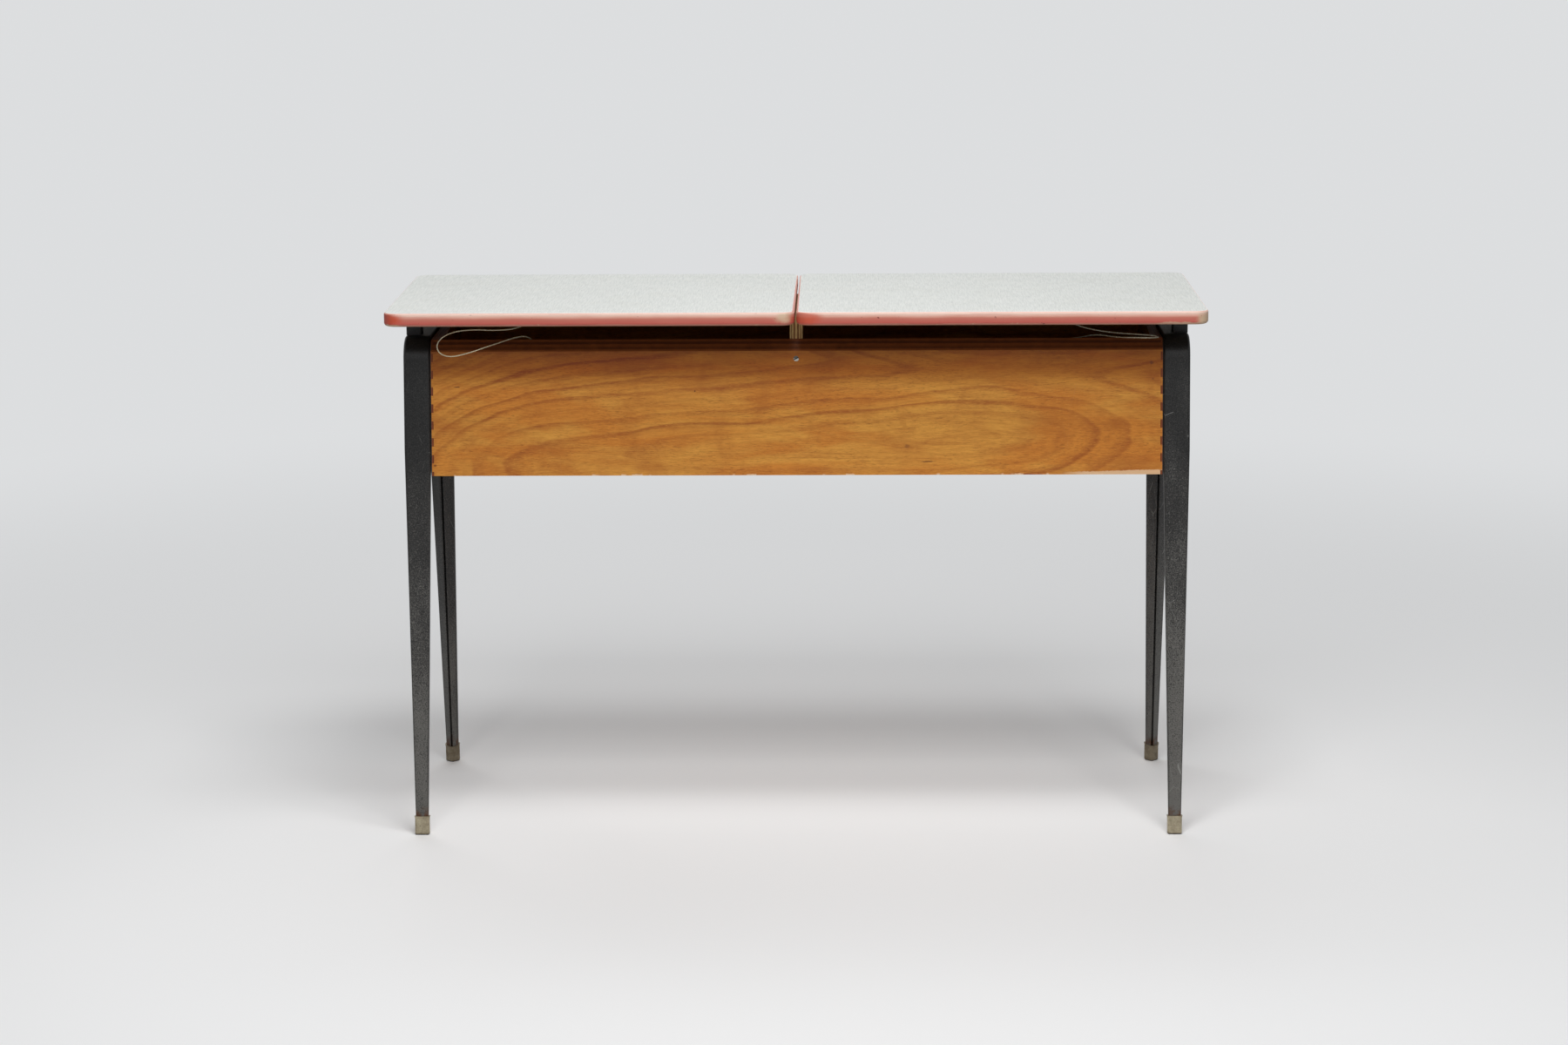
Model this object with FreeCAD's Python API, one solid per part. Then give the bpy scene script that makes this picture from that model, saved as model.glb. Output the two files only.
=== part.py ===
"""Double school desk: two flip-up lids over a plywood box, carried by two bent sheet-steel end frames.

Millimetres, Z up. The origin is on the floor, under the middle of the desk. -Y is the side that
the lids open from, +Y is the hinge side and +X is to the right, seen from the opening side.
"""
import FreeCAD, Part
import math
import os

Vec = FreeCAD.Vector

# Overall
top_width = 1200.0
top_depth = 450.0
desk_height = 785.0

# Lids: board, laminate on top, thin backing sheet below
lid_thickness = 20.0
laminate_thickness = 1.2
backing_thickness = 0.8
lid_gap = 3.0
lid_corner_radius = 20.0
lid_top_round = 3.0
lid_bottom_round = 5.0

# End frames: folded sheet, a flat outer face and a V-shaped back with an open seam
leg_side_inset = 39.0
leg_inset = 2.0
leg_lean = 6.0
leg_width = 39.0
leg_foot_width = 17.8
leg_straight = 166.0
leg_depth = 28.0
leg_foot_depth = 17.0
leg_nose_share = 0.42
leg_nose_flat_share = 0.2
leg_edge_round_share = 0.1
leg_fold_round_share = 0.09
leg_sheet = 1.5
seam_width = 3.0
seam_depth = 5.0
shoulder_radius = 34.0

# Feet: plated ferrules over the leg ends, each on a plastic pad
pad_height = 3.0
pad_stand = 1.5
ferrule_wall = 1.2
ferrule_height = 28.0
ferrule_lip_height = 3.0
ferrule_lip_flare = 0.8
ferrule_play = 0.2
pad_play = 0.1

# Box
panel_setback = 3.0
panel_thickness = 12.0
panel_height = 199.0
panel_drop = 4.0
panel_bevel = 16.0
bevel_land = 1.0
finger_count = 8
finger_show = 3.0
end_panel_thickness = 15.0
board_thickness = 8.0
batten_size = 15.0
batten_rise = 3.0
divider_thickness = 18.5
divider_drop = 1.0
rear_panel_drop = 1.0
lug_thickness = 1.5
lug_height = 30.0
lug_length = 62.0
lug_round = 4.0
lug_drop = 93.0
lug_setback = 4.0
lug_hole_step = 18.0
lug_hole_edge = 9.0

# Lid buffers on the rails
buffer_height = 28.0
buffer_width = 22.0
buffer_depth = 30.0
buffer_inset = 1.0
buffer_round = 2.0
buffer_setback = 6.0
buffer_screw_edge = 5.0

# Hinges
hinge_length = 60.0
hinge_leaf = 1.5
hinge_leaf_width = 27.0
hinge_pin = 4.0
hinge_pin_play = 0.05
hinge_pin_stand = 0.6
hinge_knuckles = 5
knuckle_play = 0.4
leaf_play = 0.5
hinge_offset = 180.0
hinge_leaf_round = 3.0
hinge_screw_row_shares = (-1.0, 0.0, 1.0)
hinge_screw_step = 21.0
hinge_screw_line = 17.0

# Screws: countersunk, slotted
small_head = 7.0
small_head_height = 1.3
small_shank = 3.4
small_length = 10.0
divider_head = 8.0
divider_head_height = 2.4
divider_shank = 4.2
divider_length = 40.0
divider_screw_drop = 27.5
divider_slot_turn = 25.0
slot_width = 1.4
slot_depth = 0.8
round_head = 6.5
round_head_height = 2.2
lug_screw_length = 12.0
buffer_screw_length = 14.0
screw_play = 0.05

# Stay cords and the clips that hold their ends
cord_diameter = 1.8
cord_arc_share = 0.45
stay_angle_limit = 120.0
stay_angle_step = 0.1
clip_plate = 2.0
clip_plate_length = 24.0
clip_size = 9.0
clip_boss = 8.0
clip_round = 1.2
clip_x = 385.0
clip_drop = 31.0
lid_clip_x = 371.0
lid_clip_y = -125.0
clip_run = 12.0
lid_clip_run = 10.0

# Points between the clips' own runs; X is given for the right-hand cord and turned for the left
left_route = [
    (386.5, -125.5, 724.0), (392.0, -122.0, 732.5), (402.0, -125.0, 737.5),
    (416.0, -138.0, 737.2), (434.0, -154.0, 733.5), (456.5, -167.5, 727.5),
    (482.0, -175.0, 719.0), (508.0, -174.0, 713.0), (524.5, -171.0, 718.0),
    (529.0, -169.5, 731.0), (519.5, -168.5, 743.0), (501.0, -166.0, 750.5),
    (474.0, -160.5, 752.5), (445.0, -153.5, 750.0), (419.0, -144.0, 750.0),
    (400.0, -132.5, 755.5),
]
right_route = [
    (386.5, -125.5, 723.0), (393.5, -122.5, 729.0), (407.0, -120.5, 731.0),
    (422.0, -121.0, 732.5), (437.0, -126.5, 736.8), (451.5, -139.5, 738.6),
    (464.5, -158.0, 738.6), (477.5, -177.0, 740.0), (493.0, -191.0, 741.8),
    (509.5, -196.5, 742.2), (524.0, -192.0, 741.5), (531.5, -181.5, 741.0),
    (526.0, -170.5, 741.5), (511.0, -164.0, 742.2), (489.0, -159.5, 743.0),
    (464.0, -153.5, 744.2), (440.0, -147.0, 746.8), (419.0, -139.5, 751.0),
    (401.0, -130.5, 757.5),
]

cut_over = 2.0

# Worked out from the values above
lean = math.radians(leg_lean)
lid_under = desk_height - lid_thickness
rail_height = lid_under - buffer_height
panel_top = rail_height - panel_drop
panel_bottom = panel_top - panel_height
finger_pitch = panel_height / finger_count
leg_spacing = top_width - 2 * leg_side_inset
lid_width = (top_width - lid_gap) / 2
lid_middle = (lid_gap + lid_width) / 2
leg_foot_y = -top_depth / 2 + leg_inset
leg_inner_x = (leg_spacing - leg_width) / 2
box_half = leg_inner_x - lug_thickness
board_bottom = panel_bottom + batten_rise + batten_size
board_top = board_bottom + board_thickness
shoulder_z = rail_height - shoulder_radius
shoulder_start_z = shoulder_z + shoulder_radius * math.sin(lean)
shoulder_y = leg_foot_y + shoulder_start_z * math.tan(lean) + shoulder_radius * math.cos(lean)
shoulder_reach = shoulder_start_z / math.cos(lean)
taper_reach = (rail_height - leg_straight) / math.cos(lean)
pin_radius = hinge_pin / 2
knuckle_radius = pin_radius + hinge_pin_play + hinge_leaf
axis_z = lid_under - knuckle_radius


def face_y(z, inward):
    """Y of a plane parallel to the front legs' faces, a distance inward of them, at height z."""
    return leg_foot_y + z * math.tan(lean) + inward / math.cos(lean)


axis_y = -face_y(axis_z, panel_setback - knuckle_radius)


def local_point(reach, side, inward):
    """A point of the front leg's frame: reach along the leg, side along X, inward from its face."""
    y = leg_foot_y + reach * math.sin(lean) + inward * math.cos(lean)
    z = reach * math.cos(lean) - inward * math.sin(lean)
    return Vec(side, y, z)


def inset_points(points, inset):
    """The corners of a convex outline moved inward by inset on every side."""
    count = len(points)
    lines = []
    for index in range(count):
        ax, ay = points[index]
        bx, by = points[(index + 1) % count]
        size = math.hypot(bx - ax, by - ay)
        nx, ny = -(by - ay) / size, (bx - ax) / size
        lines.append((nx, ny, nx * ax + ny * ay + inset))
    moved = []
    for index in range(count):
        a1, b1, c1 = lines[index - 1]
        a2, b2, c2 = lines[index]
        det = a1 * b2 - a2 * b1
        moved.append(((c1 * b2 - c2 * b1) / det, (a1 * c2 - a2 * c1) / det))
    return moved


def rounded_wire(points, rounds, place):
    """A closed wire through corners rounded by arcs; place turns a 2-D point into a 3-D one."""
    count = len(points)
    spans = []
    for index in range(count):
        px, py = points[index - 1]
        cx, cy = points[index]
        nx, ny = points[(index + 1) % count]
        before = math.hypot(px - cx, py - cy)
        after = math.hypot(nx - cx, ny - cy)
        ux, uy = (px - cx) / before, (py - cy) / before
        vx, vy = (nx - cx) / after, (ny - cy) / after
        half = math.acos(max(-1.0, min(1.0, ux * vx + uy * vy))) / 2
        reach = rounds[index] / math.tan(half)
        bx, by = ux + vx, uy + vy
        size = math.hypot(bx, by)
        deep = rounds[index] / math.sin(half) - rounds[index]
        start = (cx + ux * reach, cy + uy * reach)
        middle = (cx + bx / size * deep, cy + by / size * deep)
        end = (cx + vx * reach, cy + vy * reach)
        spans.append((start, middle, end))
    edges = []
    for index in range(count):
        start, middle, end = spans[index]
        edges.append(Part.Arc(place(*start), place(*middle), place(*end)).toShape())
        edges.append(Part.LineSegment(place(*end), place(*spans[(index + 1) % count][0])).toShape())
    return Part.Wire(edges)


def leg_outline(width, depth):
    """Corners of the folded section, anticlockwise: flat face at 0, sides, sloping backs, nose."""
    nose = leg_nose_share * width
    flat = leg_nose_flat_share * width
    return [(-width / 2, 0), (width / 2, 0), (width / 2, depth - nose),
            (flat / 2, depth), (-flat / 2, depth), (-width / 2, depth - nose)]


def leg_rounds(width, inset):
    """Corner radii of the section, smaller on the inside of the sheet."""
    fold = leg_fold_round_share * width
    edge = leg_edge_round_share * width
    outer = [edge, edge, fold + leg_sheet,
             fold / 2 + leg_sheet, fold / 2 + leg_sheet, fold + leg_sheet]
    return [max(radius - inset, leg_sheet / 4) for radius in outer]


def leg_width_at(reach):
    share = min(1.0, reach / taper_reach)
    return leg_foot_width + (leg_width - leg_foot_width) * share


def leg_depth_at(reach):
    share = min(1.0, reach / taper_reach)
    return leg_foot_depth + (leg_depth - leg_foot_depth) * share


def leg_section(reach, inset):
    """The section's wire at a distance along the front leg."""
    width = leg_width_at(reach)
    depth = leg_depth_at(reach)
    points = inset_points(leg_outline(width, depth), inset)
    return rounded_wire(points, leg_rounds(width, inset), lambda a, b: local_point(reach, a, b))


def seam_section(reach):
    """The slot that the two folded edges leave open."""
    depth = leg_depth_at(reach)
    corners = [(-seam_width / 2, depth - seam_depth), (seam_width / 2, depth - seam_depth),
               (seam_width / 2, depth + cut_over), (-seam_width / 2, depth + cut_over)]
    points = [local_point(reach, a, b) for a, b in corners]
    return Part.makePolygon(points + [points[0]])


def bent_leg(section):
    """Straight tapered run, straight run and shoulder bend, from one section function."""
    lower = Part.makeLoft([section(0), section(taper_reach)], True, True)
    upper = Part.makeLoft([section(taper_reach), section(shoulder_reach)], True, True)
    face = Part.Face(section(shoulder_reach))
    turn = 90 - leg_lean
    bend = face.revolve(Vec(0, shoulder_y, shoulder_z), Vec(-1, 0, 0), turn)
    return lower.fuse([upper, bend]).removeSplitter()


def front_leg():
    """One front leg with its shoulder, on the plane X = 0."""
    shell = bent_leg(lambda reach: leg_section(reach, 0))
    shell = shell.cut(bent_leg(lambda reach: leg_section(reach, leg_sheet)))
    shell = shell.cut(bent_leg(seam_section))
    below = Part.makeBox(2 * leg_width, 2 * leg_width, pad_height + leg_width)
    below.translate(Vec(-leg_width, leg_foot_y - leg_width, -leg_width))
    return largest(shell.cut(below))


def rail():
    """The straight top rail between two shoulders, on the plane X = 0."""
    def place(a, b):
        return Vec(a, shoulder_y, rail_height - b)
    outline = leg_outline(leg_width, leg_depth)
    outer = Part.Face(rounded_wire(outline, leg_rounds(leg_width, 0), place))
    hollow = inset_points(outline, leg_sheet)
    inner = Part.Face(rounded_wire(hollow, leg_rounds(leg_width, leg_sheet), place))
    span = Vec(0, -2 * shoulder_y, 0)
    slot = Part.makeBox(seam_width, -2 * shoulder_y, seam_depth + cut_over)
    slot.translate(Vec(-seam_width / 2, shoulder_y, rail_height - leg_depth - cut_over))
    return largest(outer.extrude(span).cut(inner.extrude(span)).cut(slot))


def largest(shape):
    """The largest solid of a shape, without slivers."""
    return sorted(shape.Solids, key=lambda solid: solid.Volume)[-1]


def foot_outline(grow):
    """The leg's section at the ferrule's rim, grown outward."""
    reach = ferrule_height / math.cos(lean)
    width = leg_width_at(reach)
    points = inset_points(leg_outline(width, leg_depth_at(reach)), -grow)
    return points, leg_rounds(width, -grow)


def foot_loft(low, high, low_grow, high_grow):
    """The foot's outline swept along the leg, with a growth outward at each end."""
    sections = []
    for reach, grow in ((low, low_grow), (high, high_grow)):
        points, rounds = foot_outline(grow)
        sections.append(rounded_wire(points, rounds, lambda a, b: local_point(reach, a, b)))
    return Part.makeLoft(sections, True, True)


def foot_slab(low, high):
    """All the space round the foot between two heights."""
    size = 4 * leg_width
    slab = Part.makeBox(size, size, high - low)
    slab.translate(Vec(-size / 2, leg_foot_y - size / 2, low))
    return slab


def ferrule():
    """The plated cap round a front leg's end, with a lip that flares at its rim."""
    grow = ferrule_play + ferrule_wall
    rim = ferrule_height - ferrule_lip_height
    outer = foot_loft(-leg_foot_depth, rim, grow, grow)
    lip = foot_loft(rim, ferrule_height, grow, grow + ferrule_lip_flare)
    top = ferrule_height + cut_over
    hollow = foot_loft(-leg_foot_depth, top, ferrule_play, ferrule_play)
    shell = outer.fuse(lip).cut(hollow).removeSplitter()
    return largest(shell.common(foot_slab(pad_stand, top + leg_foot_depth)))


def foot_pad():
    """The plug in the ferrule's mouth that stands on the floor and carries the leg's end."""
    grow = ferrule_play - pad_play
    plug = foot_loft(-leg_foot_depth, leg_foot_depth, grow, grow)
    return largest(plug.common(foot_slab(0, pad_height)))


def plate_yz(corners, x0, x1):
    """A slab with the given (y, z) corners, from x0 to x1."""
    points = [Vec(x0, y, z) for y, z in corners]
    return Part.Face(Part.makePolygon(points + [points[0]])).extrude(Vec(x1 - x0, 0, 0))


def sloping_panel(bottom, top, near, far):
    """A board parallel to the legs' faces, as wide as the box, between two distances inward."""
    corners = [(face_y(bottom, near), bottom), (face_y(bottom, far), bottom),
               (face_y(top, far), top), (face_y(top, near), top)]
    return plate_yz(corners, -box_half, box_half)


def mirror_y(shape):
    return shape.mirror(Vec(0, 0, 0), Vec(0, 1, 0))


def mirror_x(shape):
    return shape.mirror(Vec(0, 0, 0), Vec(1, 0, 0))


def finger_slabs():
    """Where the right end panel's fingers come through the long panels, from bottom to top."""
    half = finger_pitch / 4
    slabs = []
    for index in range(finger_count + 1):
        middle = panel_bottom + index * finger_pitch
        low = max(middle - half, panel_bottom)
        high = min(middle + half, panel_top)
        slab = Part.makeBox(finger_show, 2 * top_depth, high - low)
        slab.translate(Vec(box_half - finger_show, -top_depth, low))
        slabs.append(slab)
    return slabs


def front_board():
    """The front panel before its ends are notched, bevelled along its top for the fingers."""
    near = panel_setback
    far = panel_setback + panel_thickness
    edge = panel_top - panel_bevel
    corners = [(face_y(panel_bottom, near), panel_bottom), (face_y(panel_bottom, far), panel_bottom),
               (face_y(panel_top, far), panel_top), (face_y(panel_top, far - bevel_land), panel_top),
               (face_y(edge, near), edge)]
    return plate_yz(corners, -box_half, box_half)


def fingers(board):
    """The right end panel's fingers within a long panel."""
    return [board.common(slab) for slab in finger_slabs()]


def notched(board):
    """A long panel with notches for the fingers at both ends."""
    right = finger_slabs()
    return board.cut(right + [mirror_x(slab) for slab in right])


def rear_board():
    """The taller panel on the hinge side, up to just under the lids."""
    far = panel_setback + panel_thickness
    return mirror_y(sloping_panel(panel_bottom, lid_under - rear_panel_drop, panel_setback, far))


def inside_y(z):
    """Half the distance between the two long panels' inner faces, at height z."""
    return -face_y(z, panel_setback + panel_thickness)


def cross_panel(bottom, top, x0, x1):
    """A board across the box, from one long panel to the other."""
    corners = [(-inside_y(bottom), bottom), (inside_y(bottom), bottom),
               (inside_y(top), top), (-inside_y(top), top)]
    return plate_yz(corners, x0, x1)


def end_panel():
    """The right end of the box, with its fingers."""
    board = cross_panel(panel_bottom, panel_top, box_half - end_panel_thickness, box_half)
    return board.fuse(fingers(front_board()) + fingers(rear_board())).removeSplitter()


def bottom_board():
    half = box_half - end_panel_thickness
    return cross_panel(board_bottom, board_top, -half, half)


def centre_divider():
    return cross_panel(board_top, lid_under - divider_drop, -divider_thickness / 2, divider_thickness / 2)


def batten():
    """The strip under the bottom board, along the front panel's inner face."""
    low = board_bottom - batten_size
    inner = panel_setback + panel_thickness
    corners = [(face_y(low, inner), low), (face_y(low, inner) + batten_size, low),
               (face_y(low, inner) + batten_size, board_bottom), (face_y(board_bottom, inner), board_bottom)]
    half = box_half - end_panel_thickness
    return plate_yz(corners, -half, half)


def screw(head, head_height, shank, length, slot_turn=0.0):
    """A countersunk slotted screw: its head's top is at 0 and it points along -Z."""
    cone = Part.makeCone(shank / 2, head / 2, head_height, Vec(0, 0, -head_height))
    body = Part.makeCylinder(shank / 2, length - head_height, Vec(0, 0, -length))
    slot = Part.makeBox(head + cut_over, slot_width, slot_depth + cut_over)
    slot.translate(Vec(-(head + cut_over) / 2, -slot_width / 2, -slot_depth))
    slot.rotate(Vec(0, 0, 0), Vec(0, 0, 1), slot_turn)
    return cone.fuse(body).cut(slot).removeSplitter()


def screw_space(head, head_height, shank, length):
    """The hole that such a screw needs."""
    wide = screw_play
    cone = Part.makeCone(shank / 2 + wide, head / 2 + wide, head_height, Vec(0, 0, -head_height))
    mouth = Part.makeCylinder(head / 2 + wide, cut_over)
    body = Part.makeCylinder(shank / 2 + wide, length + wide, Vec(0, 0, -length - wide))
    return cone.fuse([mouth, body])


def round_screw(length):
    """A round-headed slotted screw: its head sits on 0 and its shank points along -Z."""
    rise = round_head_height
    ball = (round_head * round_head / 4 + rise * rise) / (2 * rise)
    head = Part.makeSphere(ball, Vec(0, 0, rise - ball))
    head = head.common(Part.makeCylinder(ball, 2 * ball))
    body = Part.makeCylinder(small_shank / 2, length, Vec(0, 0, -length))
    slot = Part.makeBox(round_head + cut_over, slot_width, slot_depth + cut_over)
    slot.translate(Vec(-(round_head + cut_over) / 2, -slot_width / 2, rise - slot_depth))
    return head.cut(slot).fuse(body).removeSplitter()


def round_space(length):
    return Part.makeCylinder(small_shank / 2 + screw_play, length + screw_play + cut_over,
                             Vec(0, 0, -length - screw_play))


def aim(shape, point, direction):
    """A copy of a shape made along +Z, turned to a direction and moved to a point."""
    placed = shape.copy()
    turn = FreeCAD.Rotation(Vec(0, 0, 1), direction)
    placed.Placement = FreeCAD.Placement(point, turn).multiply(placed.Placement)
    return placed


out_front = Vec(0, -math.cos(lean), math.sin(lean))
up_front = Vec(0, math.sin(lean), math.cos(lean))


def divider_screw_place():
    height = panel_top - divider_screw_drop
    return Vec(0, face_y(height, panel_setback), height), out_front


def lug_reach():
    return (panel_top - lug_drop) / math.cos(lean)


def lug_hole_points():
    """Centres of one front lug's two screws, on the outer side of the box, right-hand end."""
    last = lug_setback + lug_length - lug_hole_edge
    places = []
    for step in (last - lug_hole_step, last):
        point = local_point(lug_reach(), leg_inner_x, step)
        places.append(point)
    return places


def frame_lug():
    """The plate welded to the right front leg's inner side; the box's end is screwed to it."""
    size = [(0, 0), (lug_length, 0), (lug_length, lug_height), (0, lug_height)]
    low = lug_reach() - lug_height / 2
    wire = rounded_wire(size, [lug_round] * len(size),
                        lambda a, b: local_point(low + b, box_half, lug_setback + a))
    plate = Part.Face(wire).extrude(Vec(lug_thickness, 0, 0))
    for point in lug_hole_points():
        plate = plate.cut(aim(round_space(lug_screw_length), point, Vec(1, 0, 0)))
    return plate


def buffer_box():
    """The right-hand buffer between the rail and the lid."""
    outer = (leg_spacing + leg_width) / 2 - buffer_inset
    near = shoulder_y + buffer_setback
    block = Part.makeBox(buffer_width, buffer_depth, buffer_height)
    block.translate(Vec(outer - buffer_width, near, rail_height))
    sides = [edge for edge in block.Edges if edge.BoundBox.ZLength > buffer_height / 2]
    block = block.makeFillet(buffer_round, sides)
    point, direction = buffer_screw_place()
    return block.cut(aim(round_space(buffer_screw_length), point, direction))


def buffer_screw_place():
    outer = (leg_spacing + leg_width) / 2 - buffer_inset
    x = outer - buffer_screw_edge
    return Vec(x, shoulder_y + buffer_setback, lid_under - buffer_screw_edge), Vec(0, -1, 0)


def lid_block():
    """A whole right-hand lid before it is parted into its layers."""
    half_gap = lid_gap / 2
    touch = half_gap / lid_corner_radius
    corners = [(half_gap, -top_depth / 2), (top_width / 2, -top_depth / 2),
               (top_width / 2, top_depth / 2), (half_gap, top_depth / 2)]
    wire = rounded_wire(corners, [lid_corner_radius] * len(corners), lambda a, b: Vec(a, b, lid_under))
    block = Part.Face(wire).extrude(Vec(0, 0, lid_thickness))

    def rim(height):
        return [edge for edge in block.Edges
                if abs(edge.BoundBox.ZMin - height) < touch
                and abs(edge.BoundBox.ZMax - height) < touch]
    top_rim = rim(desk_height)
    bottom_rim = rim(lid_under)
    block = block.makeFillet(lid_top_round, top_rim)
    low = [edge for edge in block.Edges
           if abs(edge.BoundBox.ZMax - lid_under) < touch]
    assert len(low) == len(bottom_rim)
    return block.makeFillet(lid_bottom_round, low)


def lid_layer(block, low, high):
    """The part of a lid between two heights."""
    slab = Part.makeBox(top_width, 2 * top_depth, high - low)
    slab.translate(Vec(0, -top_depth, low))
    return block.common(slab)


def hinge_ring(x0, x1):
    """One knuckle, with its bore."""
    centre = Vec(x0, axis_y, axis_z)
    ring = Part.makeCylinder(knuckle_radius, x1 - x0, centre, Vec(1, 0, 0))
    bore = Part.makeCylinder(pin_radius + hinge_pin_play, x1 - x0 + 2 * cut_over,
                             Vec(x0 - cut_over, axis_y, axis_z), Vec(1, 0, 0))
    return ring, bore


def hinge_leaf_shape(middle, for_lid):
    """A leaf with its knuckles; made flat along +Y under the lid, and turned down for the panel."""
    pitch = (hinge_length + knuckle_play) / hinge_knuckles
    first = middle - hinge_length / 2
    last = knuckle_radius + leaf_play
    z_top = lid_under
    corners = [(first, axis_y + last), (first + hinge_length, axis_y + last),
               (first + hinge_length, axis_y + hinge_leaf_width),
               (first, axis_y + hinge_leaf_width)]
    rounds = [leaf_play, leaf_play, hinge_leaf_round, hinge_leaf_round]
    wire = rounded_wire(corners, rounds, lambda a, b: Vec(a, b, z_top))
    leaf = Part.Face(wire).extrude(Vec(0, 0, -hinge_leaf))
    bores = []
    for index in range(hinge_knuckles):
        if (index % 2 == 1) == for_lid:
            x0 = first + index * pitch
            x1 = x0 + pitch - knuckle_play
            ring, bore = hinge_ring(x0, x1)
            tongue = Part.makeBox(x1 - x0, last + leaf_play, hinge_leaf)
            tongue.translate(Vec(x0, axis_y, z_top - hinge_leaf))
            leaf = leaf.fuse([ring, tongue])
            bores.append(bore)
    leaf = leaf.cut(bores).removeSplitter()
    for point in leaf_screw_points(middle):
        hole = screw_space(small_head, small_head_height, small_shank, small_length)
        leaf = leaf.cut(aim(hole, point, Vec(0, 0, -1)))
    return leaf


def leaf_screw_points(middle):
    """Where a flat leaf's screw heads lie, level with its lower face."""
    return [Vec(middle + share * hinge_screw_step, axis_y + hinge_screw_line, lid_under - hinge_leaf)
            for share in hinge_screw_row_shares]


def to_panel(shape):
    """A leaf or screw made for the lid, turned over about the pin on to the rear panel's face."""
    turned = shape.mirror(Vec(0, axis_y, axis_z), Vec(0, 0, 1))
    turned.rotate(Vec(0, axis_y, axis_z), Vec(1, 0, 0), leg_lean - 90)
    return turned


def hinge_middles():
    """The middles along X of the right-hand lid's two hinges."""
    return [lid_middle - hinge_offset, lid_middle + hinge_offset]


def hinge_pin_solid(middle):
    length = hinge_length + 2 * hinge_pin_stand
    start = Vec(middle - length / 2, axis_y, axis_z)
    pin = Part.makeCylinder(pin_radius, length, start, Vec(1, 0, 0))
    ends = [edge for edge in pin.Edges if edge.Closed]
    return pin.makeChamfer(hinge_pin_stand / 2, ends)


def clip():
    """A cord clip on the plane Z = 0, standing up: the cord leaves its boss along +Y."""
    plate = Part.makeBox(clip_plate_length, clip_size, clip_plate)
    plate.translate(Vec(clip_size / 2 - clip_plate_length, -clip_size, 0))
    boss = Part.makeBox(clip_size, clip_size, clip_boss)
    boss.translate(Vec(-clip_size / 2, -clip_size, 0))
    edges = [edge for edge in boss.Edges
             if edge.BoundBox.YLength > clip_size / 2 and edge.BoundBox.ZMin > clip_boss / 2]
    body = boss.makeFillet(clip_round, edges).fuse(plate).removeSplitter()
    hole = screw_space(small_head, small_head_height, small_shank, small_length)
    return body.cut(aim(hole, clip_screw_point(), Vec(0, 0, 1)))


def clip_screw_point():
    return Vec(clip_size / 2 + small_head - clip_plate_length, -clip_size / 2, clip_plate)


def panel_clip_base():
    """The top edge of the panel clip's foot, on the front panel's inner face."""
    height = panel_top - clip_drop
    return Vec(clip_x, face_y(height, panel_setback + panel_thickness), height)


def panel_clip_exit():
    """Where the cord leaves the panel's clip, for the right-hand side."""
    return panel_clip_base() - out_front * (clip_boss / 2)


def on_panel(shape):
    """A clip or screw made on Z = 0 moved on to the front panel's inner face."""
    placed = shape.copy()
    placed.rotate(Vec(0, 0, 0), Vec(1, 0, 0), 90)
    placed = placed.mirror(Vec(0, 0, 0), Vec(0, 1, 0))
    placed.rotate(Vec(0, 0, 0), Vec(1, 0, 0), -leg_lean)
    placed.translate(panel_clip_base())
    return placed


def lid_clip_exit():
    """Where the cord leaves the lid's clip, for the right-hand side."""
    return Vec(lid_clip_x + clip_size, lid_clip_y, lid_under - clip_boss / 2)


def on_lid(shape):
    """A clip or screw made on Z = 0 hung under the right-hand lid, its boss towards +X."""
    placed = shape.mirror(Vec(0, 0, 0), Vec(0, 0, 1))
    placed.rotate(Vec(0, 0, 0), Vec(0, 0, 1), -90)
    placed.translate(lid_clip_exit() + Vec(0, 0, clip_boss / 2))
    return placed


def cord_route(points):
    """All of a cord's points, with its straight runs out of the two clips."""
    start = panel_clip_exit()
    end = lid_clip_exit()
    route = [start, start + up_front * clip_run]
    route += [Vec(*point) for point in points]
    route += [end + Vec(lid_clip_run, 0, 0), end]
    return route


def cord_tube(name, points, diameter):
    """A round tube along straight runs joined by tangent arcs; prints its radii and its volume."""
    corners = []
    for index in range(1, len(points) - 1):
        before = points[index - 1] - points[index]
        after = points[index + 1] - points[index]
        run = min(before.Length, after.Length)
        before.normalize()
        after.normalize()
        turn = math.pi - math.acos(max(-1.0, min(1.0, before.dot(after))))
        radius = cord_arc_share * run / math.tan(turn / 2)
        reach = cord_arc_share * run
        half = (math.pi - turn) / 2
        middle = (before + after).normalize() * (radius / math.sin(half) - radius)
        corners.append((points[index] + before * reach, points[index] + middle,
                        points[index] + after * reach, radius, math.degrees(turn)))
    edges = []
    last = points[0]
    for start, middle, end, radius, turn in corners:
        edges.append(Part.LineSegment(last, start).toShape())
        edges.append(Part.Arc(start, middle, end).toShape())
        last = end
    edges.append(Part.LineSegment(last, points[-1]).toShape())
    path = Part.Wire(edges)
    direction = points[1] - points[0]
    circle = Part.Wire([Part.makeCircle(diameter / 2, points[0], direction)])
    tube = path.makePipeShell([circle], True, False)
    area = math.pi * diameter * diameter / 4
    radii = [round(corner[3], 1) for corner in corners]
    share = tube.Volume / (area * path.Length)
    print(name, "least radius", min(radii), "radii", radii)
    print(name, "length", round(path.Length, 1), "volume share", round(share, 4))
    return tube


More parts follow.
